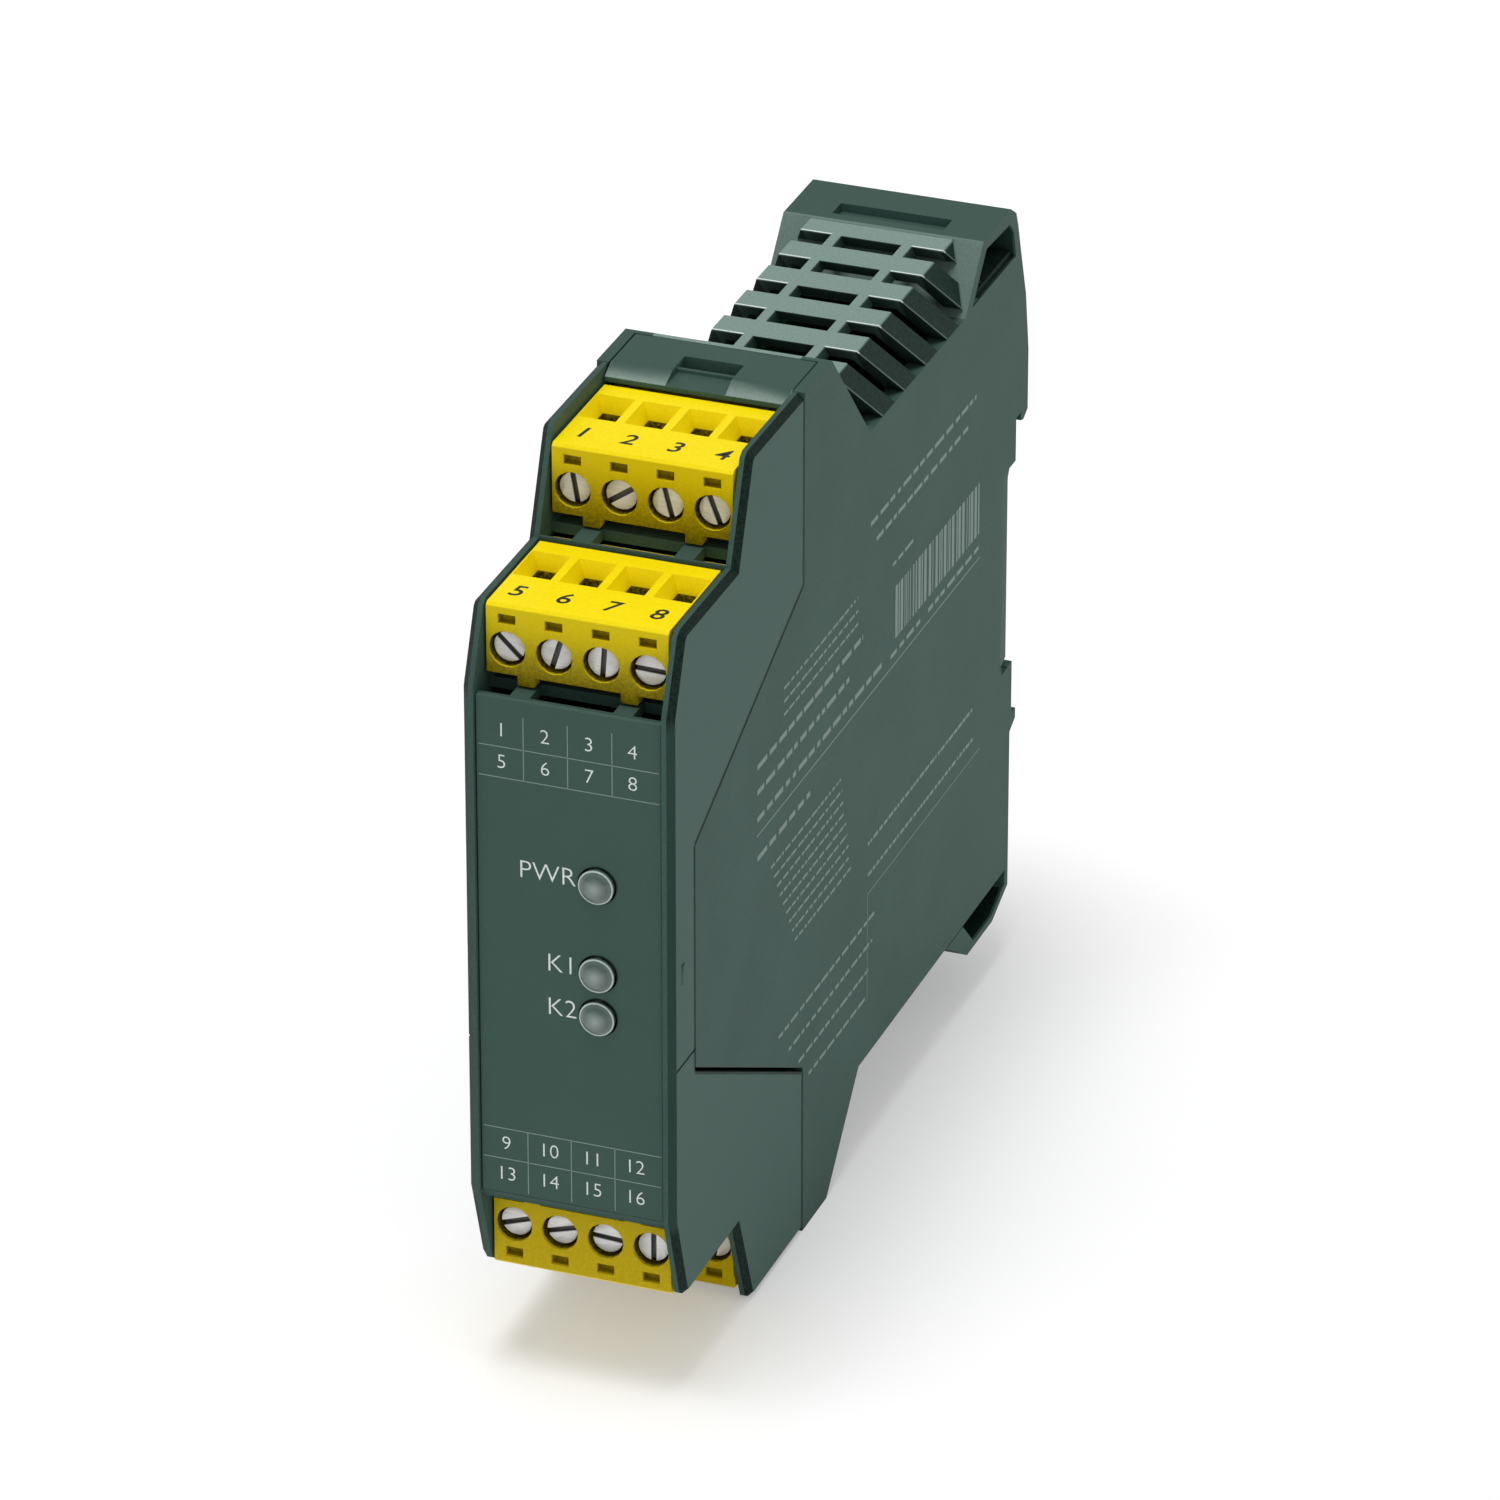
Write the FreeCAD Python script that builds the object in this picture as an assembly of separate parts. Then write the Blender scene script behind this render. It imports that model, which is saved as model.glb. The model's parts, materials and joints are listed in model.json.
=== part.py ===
"""Slim rail-mounted safety relay with four pull-off terminal plugs.

Frame: X across the width, the front faces -Y, the rail is at +Y and Z is up.
The origin is the centre of the rail seat. All sizes are in millimetres.
In this script a depth is counted from the front edge towards the rail.
"""
import FreeCAD, Part
import math
import os

# Housing as a whole
width = 22.5
front_to_seat = 104.4
mirror_height = 1.25
wall = 1.25
seam = 0.15
lower_slot = 0.45
gap = 0.3
touch = 0.02

# Front hood outline, upper half. The lower half is its mirror image.
panel_top = 30.1
panel_bottom = -26.5
cheek_front_rise = 0.7
lower_step_rise = 0.1
lower_step_front = 3.1
upper_step_front = 22.2
step_root = 18.2
seam_depth = 37.5
tongue_depth = 5.93
upper_seam_rear = 28.6
upper_seam_front = 14.2
lower_seam_rear = -28.3
lower_seam_front = -11.7
cheek_edge_round = 0.7
step_corner = 0.5
step_corner_length = 0.8
side_groove = -9.1
bump_radius = 0.9
bump_rise = 0.15
bump_height = 2.2
bump_depth = 2.6
bay_floor = 1.2
front_wall = 1.2

# Label plate
label_recess = 0.35
label_thick = 0.6

# Terminal plugs
plug_face = 3.0
plug_step_depth = 18.1
plug_step_height = 9.35
plug_length = 14.7
plug_tail = 3.7
plug_edge = 0.35
plug_floor = 0.4
plug_tail_drop = 1.2
plug_height = 7.65
poles = 4
screw_drop = 4.9
screw_head_radius = 1.65
screw_head_sink = 0.8
screw_head_thick = 1.0
screw_shank_radius = 1.2
screw_end = 8.2
screw_slot_width = 0.6
screw_slot_depth = 0.5
running = 0.05
screw_hole_radius = 1.95
hole_sides = 16
shank_sides = 10
test_slot_drop = 1.6
test_slot_width = 1.9
test_slot_height = 1.1
test_slot_depth = 1.0
funnel_front = 6.8
funnel_length = 5.6
funnel_rib = 0.9
funnel_floor = 1.6
wire_hole_width = 2.4
wire_hole_front = 9.4
wire_hole_length = 2.2
cage_wall_front = 1.2
cage_wall = 0.5
cage_wall_rear = 0.8
cage_half_height = 1.6
cage_front = 6.6
cage_length = 5.8
cage_travel = 1.8
cage_side_room = 0.65
contact_bar_depth = 8.6
contact_thick = 0.4
latch_half_width = 0.9
latch_place = 5.5
latch_drop = 1.05
latch_length = 1.5

# Headers and pins
pin_size = 0.8
pin_reach = 4.4
pin_stub = 0.4
pin_bend_pitch = 1.1
pin_tip = 0.4
header_thick = 3.0
header_half_height = 3.2
board_room = 0.6
board_thick = 1.2
board_front = 7.4
board_nose_room = 4.05
board_floor_room = 2.4
board_rear_room = 2.65
board_margin = 0.95
board_ear_lead = 1.2
board_ear_room = 3.4

# Cover plates
plate_length = 8.9
plate_thick = 1.5
plate_room = 0.15
plate_bevel = 2.0
plate_bevel_drop = 0.9
plate_grip_width = 6.4
plate_grip_length = 5.6
plate_grip_depth = 0.9
plate_bar_drop = 0.4
plate_slit = 1.6
plate_bar = 0.4
plate_bar_gap = 0.2
shelf_reach = 0.9
shelf_length = 3.4
shelf_lead = 3.0
shelf_thick = 1.0

# Vent combs
comb_top = 43.45
wall_top = 36.9
comb_flat_half = 8.0
comb_skin = 1.7
rib_pitch = 6.7
rib_slot = 2.9
rib_first_to_seat = 15.5
rib_count = 6
rib_lean = 0.9
comb_bar_half = 3.4
comb_bar_width = 1.1
strip_land = 0.8
strip_run = 11.6
strip_lip = 0.6
strip_lip_drop = 1.0
strip_lip_length = 1.7
lower_wall_bottom = -36.8
lower_comb_tip = -41.3
lower_comb_end_to_seat = 20.8
lower_set_back = 0.7
lower_strip_run = 9.9

# Rear cap
cap_front_to_seat = 11.9
cap_foot_to_seat = 17.6
pocket_depth = 3.2
cap_slot_half = 6.3
cap_slot_depth = 1.0
cap_slot_front = 1.6
cap_slot_length = 2.8
cap_nose = 1.8
cap_nose_drop = 1.2
cap_back = 0.9
cap_back_drop = 2.9
cap_tail = 0.7
pocket_frame = 2.6
pocket_frame_front = 1.3
pocket_top = 1.3
pocket_slope = 0.4
pocket_nose_drop = 1.9
pocket_nose = 1.4
ledge_front = 2.0
ledge_rise = 0.9
ledge_set = 0.6
cap_top_skin = 2.2
cap_hollow_front = 3.2
cap_hollow_rear = 4.2

# Rail seat, hook and foot
rail_height = 35.0
rail_room = 0.1
pad_height = 5.0
recess_depth = 1.5
hook_slot = 1.6
hook_tip_drop = 1.1
hook_reach = 3.8
hook_top_rise = 13.7
hook_top_set = 1.1
hook_bend_rise = 6.7
hook_chin = 1.4
hook_chin_rise = 0.4
hook_chin_slope = 0.2
hook_skin = 3.0
hook_ceiling = 3.4
wall_bevel = 0.55
wall_bevel_length = 3.2
rear_wall = 1.4
foot_top = -11.8
foot_shoulder = 1.1
foot_thick = 1.1
foot_lip = 1.3
foot_lip_thick = 1.2
foot_floor = -41.4
foot_side_room = 0.1
foot_face_room = 0.1
foot_lip_drop = 0.7
foot_lip_slope = 0.3
foot_lip_root = 0.9
foot_heel_rise = 2.1
foot_heel_length = 5.1
foot_curve_to_seat = 14.0
foot_curve_inner_to_seat = 12.0
foot_lug_front_to_seat = 20.5
foot_lug_rear_to_seat = 15.5
foot_skin = 0.8
foot_skin_rise = 0.6
foot_tongue_rise = 0.9
foot_tongue_top = 0.8
foot_tongue_bulge = 1.3
foot_tongue_share = 0.6
foot_notch = 2.2
foot_hole_front_to_seat = 19.0
foot_hole_length = 6.4
foot_hole_half = 2.2
foot_hole_rise = 1.2
foot_hole_height = 1.0
foot_stem_half = 3.0
foot_stem_rise = 0.4
foot_shoulder_height = 2.4
foot_stem_thick = 1.6
spring_radius = 1.9
spring_wire_half = 0.27
spring_turns = 5
spring_steps = 12
spring_length = 10.2
spring_to_seat = 7.9

# Lights
light_across = 2.93
light_heights = (10.8, 0.75, -4.2)
lens_radius = 1.9
lens_bulge = 0.7
lens_rim = 0.25
lens_hole_sides = 20
guide_half = 1.25
guide_length = 9.5
chip_high = 1.5
chip_half_length = 1.0
chip_half_width = 0.9
chip_room = 0.02

# Parts on the board
relay_corner = 0.6
coil_waist = 0.15
coil_overhang = 0.08
coil_lift = 0.2
relay_depth = 52.0
relay_size = (15.6, 28.0, 12.6)
relay_gap = 4.0
transformer_size = (13.0, 16.0, 15.0)
transformer_depth = 30.0

# Slot angles of the screws as they were left, in degrees from level
slot_angles = (-80, 35, -75, -69, -43, 73, 86, -2, 12, 64, -28, 80, 19, 17, -3, 90)

# Sizes worked out from the ones above
half_width = width / 2
inner_half = half_width - wall
pitch = 2 * inner_half / poles
plug_half = inner_half - gap
seat = front_to_seat
half_rail = rail_height / 2
plug_top = panel_top + gap + latch_drop + plug_height
lower_step_top = plug_top + lower_step_rise
upper_step_top = plug_top + plug_step_height + plate_thick + plate_room
plate_front = plug_face + plug_step_depth + plug_length + gap
plate_rear = plate_front + plate_length
strip_rear = plate_rear + strip_land
strip_foot = strip_rear + strip_run
board_face = -inner_half + board_room + board_thick
pole_places = [(k - (poles - 1) / 2) * pitch for k in range(poles)]

shapes = {}


def place(across, depth, height):
    return FreeCAD.Vector(across, depth - front_to_seat, height)


def prism(points, low, high):
    """Side profile given as (depth, height) pairs, drawn out across X from low to high."""
    corners = [place(low, depth, height) for depth, height in points]
    wire = Part.makePolygon(corners + corners[:1])
    return Part.Face(wire).extrude(FreeCAD.Vector(high - low, 0, 0))


def block(across, depth, height):
    """Box given by its low and high value along each axis."""
    size = [pair[1] - pair[0] for pair in (across, depth, height)]
    return Part.makeBox(*size, place(across[0], depth[0], height[0]))


def rod_back(across, height, radius, front, rear):
    """Cylinder running from front to rear."""
    return Part.makeCylinder(radius, rear - front, place(across, front, height), FreeCAD.Vector(0, 1, 0))


def flat_sided_rod(across, height, radius, sides, front, rear):
    """Rod with flat sides, running from front to rear. Its corners stand on the given radius."""
    corners = []
    for number in range(sides):
        turn = 2 * math.pi * number / sides
        corners.append((across + radius * math.cos(turn), height + radius * math.sin(turn)))
    return frame_section(corners, front, rear)


def flat_sided_hole(across, height, radius, sides, front, rear):
    """The same shape as a cutter, with the middles of its flats on the given radius."""
    return flat_sided_rod(across, height, radius / math.cos(math.pi / sides), sides, front, rear)


def upright(points, low, high):
    """Outline seen from above, given as (across, depth) pairs, drawn up from low to high."""
    corners = [place(across, depth, low) for across, depth in points]
    wire = Part.makePolygon(corners + corners[:1])
    return Part.Face(wire).extrude(FreeCAD.Vector(0, 0, high - low))


def tapered(upper, lower):
    """Solid with flat sides between two level rectangles."""
    faces = [Part.Face(Part.makePolygon(ring + ring[:1])) for ring in (upper, lower)]
    for number in range(len(upper)):
        after = (number + 1) % len(upper)
        side = [upper[number], upper[after], lower[after], lower[number], upper[number]]
        faces.append(Part.Face(Part.makePolygon(side)))
    solid = Part.makeSolid(Part.makeShell(faces))
    return solid if solid.Volume > 0 else solid.reversed()


def frame_section(points, front, rear):
    """Cross-section given as (across, height) pairs, drawn out from front to rear."""
    corners = [place(across, front, height) for across, height in points]
    wire = Part.makePolygon(corners + corners[:1])
    return Part.Face(wire).extrude(FreeCAD.Vector(0, rear - front, 0))


def flip(shape):
    """Mirror image below the mirror height."""
    return shape.mirror(FreeCAD.Vector(0, 0, mirror_height), FreeCAD.Vector(0, 0, 1))


def flip_level(height):
    return 2 * mirror_height - height


def moved(shape, depth, height):
    copy = shape.copy()
    copy.translate(FreeCAD.Vector(0, depth, height))
    return copy


def fuse(pieces):
    result = pieces[0].multiFuse(pieces[1:])
    return result.removeSplitter()


def both_sides(make):
    """The same feature on the left and on the right."""
    right = make()
    return [right, right.mirror(FreeCAD.Vector(0, 0, 0), FreeCAD.Vector(1, 0, 0))]


def cheek_outline():
    """Side view of the hood, from the upper seam round the front to the lower seam."""
    upper = [
        (seam_depth, upper_step_top),
        (upper_step_front + step_corner_length, upper_step_top),
        (upper_step_front, upper_step_top - step_corner),
        (step_root, lower_step_top),
        (lower_step_front + step_corner_length, lower_step_top),
        (lower_step_front, lower_step_top - step_corner),
        (0, panel_top + cheek_front_rise),
    ]
    lower = [
        (0, panel_bottom),
        (lower_step_front, flip_level(lower_step_top - step_corner)),
        (lower_step_front + step_corner_length, flip_level(lower_step_top)),
        (step_root, flip_level(lower_step_top)),
        (upper_step_front, flip_level(upper_step_top - step_corner)),
        (upper_step_front + step_corner_length, flip_level(upper_step_top)),
        (seam_depth, flip_level(upper_step_top)),
    ]
    notch = [
        (seam_depth, lower_seam_rear),
        (tongue_depth, lower_seam_front),
        (tongue_depth, upper_seam_front),
        (seam_depth, upper_seam_rear),
    ]
    return upper + lower + notch


def soften_cheek(cheek, outer):
    """Round the outer edges of a cheek along its front, top and bottom."""
    chosen = []
    for edge in cheek.Edges:
        middle = edge.CenterOfMass
        depth = middle.y + front_to_seat
        on_face = abs(middle.x - outer) < touch
        inside_tongue = lower_seam_rear < middle.z < upper_seam_rear and depth > tongue_depth - touch
        on_seam = depth > seam_depth - touch
        if on_face and not inside_tongue and not on_seam:
            chosen.append(edge)
    return cheek.makeChamfer(cheek_edge_round, chosen)


def bay(level, front, rear):
    """Floor under one terminal plug, with three dark windows at its front."""
    floor = block((-inner_half - touch, inner_half + touch), (front, rear), (level - bay_floor, level))
    reach = (front + front_wall / 4, front + 3 * front_wall)
    heights = (level - 2 * bay_floor, level + gap)
    catch = latch_half_width + gap / 2
    spans = (
        (-inner_half + touch, -latch_place - catch),
        (-latch_place + catch, latch_place - catch),
        (latch_place + catch, inner_half - touch),
    )
    windows = [block(span, reach, heights) for span in spans]
    return floor, windows


def make_front_hood():
    outline = cheek_outline()
    right = soften_cheek(prism(outline, inner_half, half_width), half_width)
    left = soften_cheek(prism(outline, -half_width, -inner_half), -half_width)
    panel_back = label_recess + label_thick + touch
    front = block(
        (-inner_half - touch, inner_half + touch),
        (panel_back, panel_back + front_wall),
        (flip_level(panel_top) + gap, panel_top),
    )
    sill_points = [
        (label_recess, panel_bottom - touch),
        (panel_back, flip_level(panel_top) + gap),
        (panel_back + touch, flip_level(panel_top) + gap),
        (panel_back + touch, panel_bottom - touch),
    ]
    sill = prism(sill_points, -inner_half - touch, inner_half + touch)
    tail_end = plug_face + plug_length + plug_tail
    lower_floor, lower_windows = bay(panel_top, panel_back, tail_end)
    step_front = panel_back + plug_step_depth - (plug_face - panel_back) / 2
    upper_floor, upper_windows = bay(panel_top + plug_step_height, step_front, seam_depth - gap)
    hood = fuse([right, left, front, sill, lower_floor, upper_floor, flip(lower_floor), flip(upper_floor)])
    cuts = lower_windows + upper_windows + [flip(window) for window in upper_windows]
    lens_room = lens_radius + gap
    cuts.append(block(
        (light_across - lens_room, light_across + lens_room),
        (label_recess, panel_back + 2 * front_wall),
        (min(light_heights) - lens_room, max(light_heights) + lens_room),
    ))
    cuts += both_sides(lambda: block(
        (half_width - seam, half_width + seam),
        (-touch, tongue_depth + touch),
        (side_groove - seam, side_groove + seam),
    ))
    hood = hood.cut(Part.makeCompound(cuts))
    bumps = both_sides(lambda: Part.makeCylinder(
        bump_radius,
        bump_height,
        place(half_width + bump_rise - bump_radius, bump_depth, mirror_height - bump_height / 2),
    ))
    return fuse([hood] + bumps)


def make_label_plate():
    plate = block(
        (-inner_half + gap / 2, inner_half - gap / 2),
        (label_recess, label_recess + label_thick),
        (panel_bottom, panel_top),
    )
    radius = lens_radius + gap / 2
    rear = label_recess + 2 * label_thick
    for height in light_heights:
        plate = plate.cut(flat_sided_hole(light_across, height, radius, lens_hole_sides, 0, rear))
    return plate


def make_cover_plate(rear):
    bottom = upper_step_top - plate_thick
    points = [
        (plate_front, bottom),
        (plate_front, upper_step_top - plate_bevel_drop),
        (plate_front + plate_bevel, upper_step_top),
        (rear, upper_step_top),
        (rear, bottom),
    ]
    plate = prism(points, -inner_half + gap / 2, inner_half - gap / 2)
    half = plate_grip_width / 2
    grip_end = plate_front + plate_grip_length
    grip_floor = upper_step_top - plate_grip_depth
    grip = block((-half, half), (plate_front - gap, grip_end), (grip_floor, upper_step_top + gap))
    slit_front = grip_end - plate_slit
    slit = block((-half, half), (slit_front, grip_end), (bottom - gap, upper_step_top + gap))
    bar_rear = slit_front - plate_bar_gap
    bar_top = upper_step_top - plate_bar_drop
    bar = block((-half, half), (bar_rear - plate_bar, bar_rear), (bottom + gap, bar_top))
    return plate.cut(Part.makeCompound([grip, slit])).fuse(bar).removeSplitter()


def lean_line(depth, tip, height):
    """Depth of a leaning rib face at a height, when it stands at the given depth at the comb's tip."""
    return depth + (tip - height) * rib_lean


def side_outline():
    """Side view of the tub's walls."""
    upper = [
        (tongue_depth + seam, upper_seam_front - seam),
        (seam_depth + seam, upper_seam_rear - seam),
        (seam_depth + seam, upper_step_top),
        (strip_rear, upper_step_top),
        (strip_foot, wall_top),
        (seat + cap_back, wall_top),
    ]
    notch_rear = foot_plate_front()
    lower = [
        (seat - recess_depth, half_rail - pad_height - recess_depth),
        (seat - recess_depth, foot_top + foot_shoulder),
        (notch_rear - foot_notch, foot_top + foot_shoulder),
        (notch_rear - foot_notch, foot_top),
        (notch_rear - gap, foot_top),
        (notch_rear - gap, lower_wall_bottom),
        (lower_strip_foot(), lower_wall_bottom),
        (lower_strip_rear(), flip_level(upper_step_top)),
        (seam_depth + seam, flip_level(upper_step_top)),
        (seam_depth + seam, lower_seam_rear + lower_slot),
        (tongue_depth + seam, lower_seam_front + lower_slot),
    ]
    return upper + hook_profile() + lower


def hook_profile():
    """Back of the tub from the cap down round the hook to the seat pad."""
    rear = seat + hook_reach
    return [
        (rear - hook_top_set, half_rail + hook_top_rise),
        (rear, half_rail + hook_bend_rise),
        (rear, half_rail - hook_chin_rise),
        (rear - hook_chin, half_rail - hook_tip_drop),
        (seat + hook_slot, half_rail - hook_tip_drop + hook_chin_slope),
        (seat + hook_slot, half_rail + rail_room),
        (seat, half_rail + rail_room),
        (seat, half_rail - pad_height),
    ]


def comb(edge, tip, front_limit, rear_limit):
    """Roof between the side walls: a flat top with leaning sides, cut into slats and two long bars."""
    outer = [
        (-half_width, edge - comb_skin),
        (-half_width, edge),
        (-comb_flat_half, tip),
        (comb_flat_half, tip),
        (half_width, edge),
        (half_width, edge - comb_skin),
        (inner_half - touch, edge - comb_skin),
        (comb_flat_half - 1.0, tip - comb_skin),
        (-comb_flat_half + 1.0, tip - comb_skin),
        (-inner_half + touch, edge - comb_skin),
    ]
    low = edge - 2 * comb_skin
    high = tip + gap
    keep = [
        (lean_line(front_limit, tip, high), high),
        (rear_limit, high),
        (rear_limit, low),
        (lean_line(front_limit, tip, low), low),
    ]
    roof = frame_section(outer, strip_rear, rear_limit).common(prism(keep, -width, width))
    spans = (
        (-width, -comb_bar_half - comb_bar_width),
        (-comb_bar_half, comb_bar_half),
        (comb_bar_half + comb_bar_width, width),
    )
    cuts = []
    foot = edge + touch
    for number in range(rib_count):
        rib_front = seat - rib_first_to_seat - number * rib_pitch
        slot = [
            (lean_line(rib_front - rib_slot, tip, high), high),
            (lean_line(rib_front, tip, high), high),
            (lean_line(rib_front, tip, foot), foot),
            (lean_line(rib_front - rib_slot, tip, foot), foot),
        ]
        cuts += [prism(slot, low_side, high_side) for low_side, high_side in spans]
    return roof.cut(Part.makeCompound(cuts))


def strip_at(height):
    """Depth of the leaning wall in front of the comb at a height."""
    share = (upper_step_top - height) / (upper_step_top - wall_top)
    return strip_rear + share * (strip_foot - strip_rear)


def make_cap():
    """Rear cap behind the upper comb, with a slot in its top and a pocket in each side."""
    front = seat - cap_front_to_seat
    foot = seat - cap_foot_to_seat
    points = [
        (foot, wall_top - touch),
        (front, comb_top),
        (seat - cap_back - cap_nose, comb_top),
        (seat - cap_back, comb_top - cap_nose_drop),
        (seat - cap_back + cap_tail, comb_top - cap_back_drop),
        (seat + cap_back, wall_top - touch),
    ]
    cap = prism(points, -half_width, half_width)
    slot = block(
        (-cap_slot_half, cap_slot_half),
        (front + cap_slot_front, front + cap_slot_front + cap_slot_length),
        (comb_top - cap_slot_depth, comb_top + gap),
    )
    pocket_points = [
        (foot + pocket_frame, wall_top + gap),
        (front + pocket_frame_front, comb_top - pocket_top),
        (seat - cap_back - pocket_nose - cap_tail, comb_top - pocket_top - pocket_slope),
        (seat - cap_back - cap_tail, comb_top - pocket_top - pocket_nose_drop),
        (seat - cap_back, wall_top + gap),
    ]
    pockets = both_sides(lambda: prism(pocket_points, half_width - pocket_depth, half_width + gap))
    ledge_points = [
        (foot + pocket_frame + ledge_front, wall_top),
        (foot + pocket_frame + ledge_front + ledge_set, wall_top + ledge_rise),
        (seat - cap_back / 2, wall_top + ledge_rise),
        (seat - cap_back / 2, wall_top),
    ]
    pocket_wall = half_width - pocket_depth - touch
    ledges = both_sides(lambda: prism(ledge_points, pocket_wall, half_width - ledge_set))
    hollow_points = [
        (foot + cap_hollow_front, wall_top - gap),
        (front + pocket_frame_front, comb_top - cap_top_skin),
        (seat - cap_hollow_rear, comb_top - cap_top_skin),
        (seat - cap_hollow_rear, wall_top - gap),
    ]
    inside = half_width - pocket_depth - wall
    hollow = prism(hollow_points, -inside, inside)
    cap = cap.cut(Part.makeCompound([slot, hollow] + pockets))
    return fuse([cap] + ledges)


def tub_walls():
    """The two side walls, each with a shallow outer bevel where the rail seat is."""
    bevel_points = [
        (half_width, seat - recess_depth - wall_bevel_length),
        (half_width + gap, seat - recess_depth - wall_bevel_length),
        (half_width + gap, seat),
        (half_width - wall_bevel, seat),
    ]
    bevel = upright(bevel_points, foot_top + foot_shoulder, half_rail - pad_height)
    wall_plate = prism(side_outline(), inner_half, half_width).cut(bevel)
    return both_sides(lambda: wall_plate)


def rail_hook():
    """Fixed upper hook with its seat pad, hollow on the inside."""
    inner_rear = seat - recess_depth - rear_wall
    pad_bottom = half_rail - pad_height
    points = [
        (seat + cap_back, wall_top),
        *hook_profile(),
        (seat - recess_depth, pad_bottom - recess_depth),
        (inner_rear, pad_bottom - recess_depth),
        (inner_rear, half_rail + hook_skin - rear_wall),
        (seat + hook_slot, half_rail + hook_skin),
        (seat + hook_slot, half_rail + hook_bend_rise),
        (seat + hook_slot - hook_top_set, half_rail + hook_top_rise),
        (seat - hook_ceiling, wall_top),
    ]
    return prism(points, -inner_half - touch, inner_half + touch)


def rear_shell():
    """Rear wall behind the rail and the floor above the foot."""
    across = (-inner_half - touch, inner_half + touch)
    face = foot_plate_front() - gap
    rear = block(across, (face - rear_wall, face), (lower_wall_bottom, half_rail - pad_height))
    floor = block(across, (lower_comb_end(), face), (lower_wall_bottom, spring_base()))
    end = block(
        (-comb_flat_half, comb_flat_half),
        (lower_comb_end() - wall, lower_comb_end()),
        (lower_comb_tip, spring_base()),
    )
    return [rear, floor, end]


def sloped_strip(front, rear, foot, top, bottom):
    """Leaning wall between the cover plate and the comb, with a short lip at each end."""
    points = [
        (front, top),
        (rear, top),
        (foot, bottom),
        (foot - strip_lip, bottom - strip_lip_drop),
        (foot - strip_lip_length, bottom - strip_lip_drop),
        (front, top - wall),
    ]
    return prism(points, -inner_half - touch, inner_half + touch)


def plate_shelves(front):
    """Small shelves on the side walls that carry a cover plate."""
    top = upper_step_top - plate_thick - touch
    shelf = block(
        (inner_half - shelf_reach, inner_half + touch),
        (front, front + shelf_length),
        (top - shelf_thick, top),
    )
    return both_sides(lambda: shelf)


def stem_slot():
    """Opening in the floor for the foot's stem."""
    front = foot_stem_front()
    return block(
        (-foot_stem_half - gap, foot_stem_half + gap),
        (front - gap, front + foot_stem_thick + gap),
        (lower_wall_bottom - gap, spring_base() + gap),
    )


def make_tub():
    """Rear housing, open towards the front hood."""
    cap_front = seat - cap_front_to_seat
    upper_comb = comb(wall_top, comb_top, strip_at(comb_top) - gap, cap_front + wall)
    edge = flip_level(lower_wall_bottom)
    tip = flip_level(lower_comb_tip)
    lower_comb = comb(edge, tip, strip_at(tip) - gap, lower_comb_end())
    strip = sloped_strip(plate_rear + gap / 2, strip_rear, strip_foot, upper_step_top, wall_top)
    lower_front = plate_rear - lower_set_back + gap / 2
    lower_strip = sloped_strip(lower_front, lower_strip_rear(), lower_strip_foot(), upper_step_top, edge)
    upper_shelves = plate_shelves(plate_rear - shelf_lead)
    lower_shelves = [flip(shelf) for shelf in plate_shelves(plate_rear - lower_set_back - shelf_lead)]
    pieces = tub_walls() + rear_shell() + upper_shelves + lower_shelves
    pieces += [rail_hook(), strip, flip(lower_strip), upper_comb, flip(lower_comb), make_cap()]
    return fuse(pieces).cut(stem_slot())


def lower_comb_end():
    return seat - lower_comb_end_to_seat


def lower_strip_rear():
    return strip_rear - lower_set_back


def lower_strip_foot():
    return lower_strip_rear() + lower_strip_run


def foot_plate_front():
    return seat - recess_depth - gap / 2


def foot_stem_front():
    return foot_plate_front() - gap - rear_wall - gap - foot_stem_thick


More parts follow.
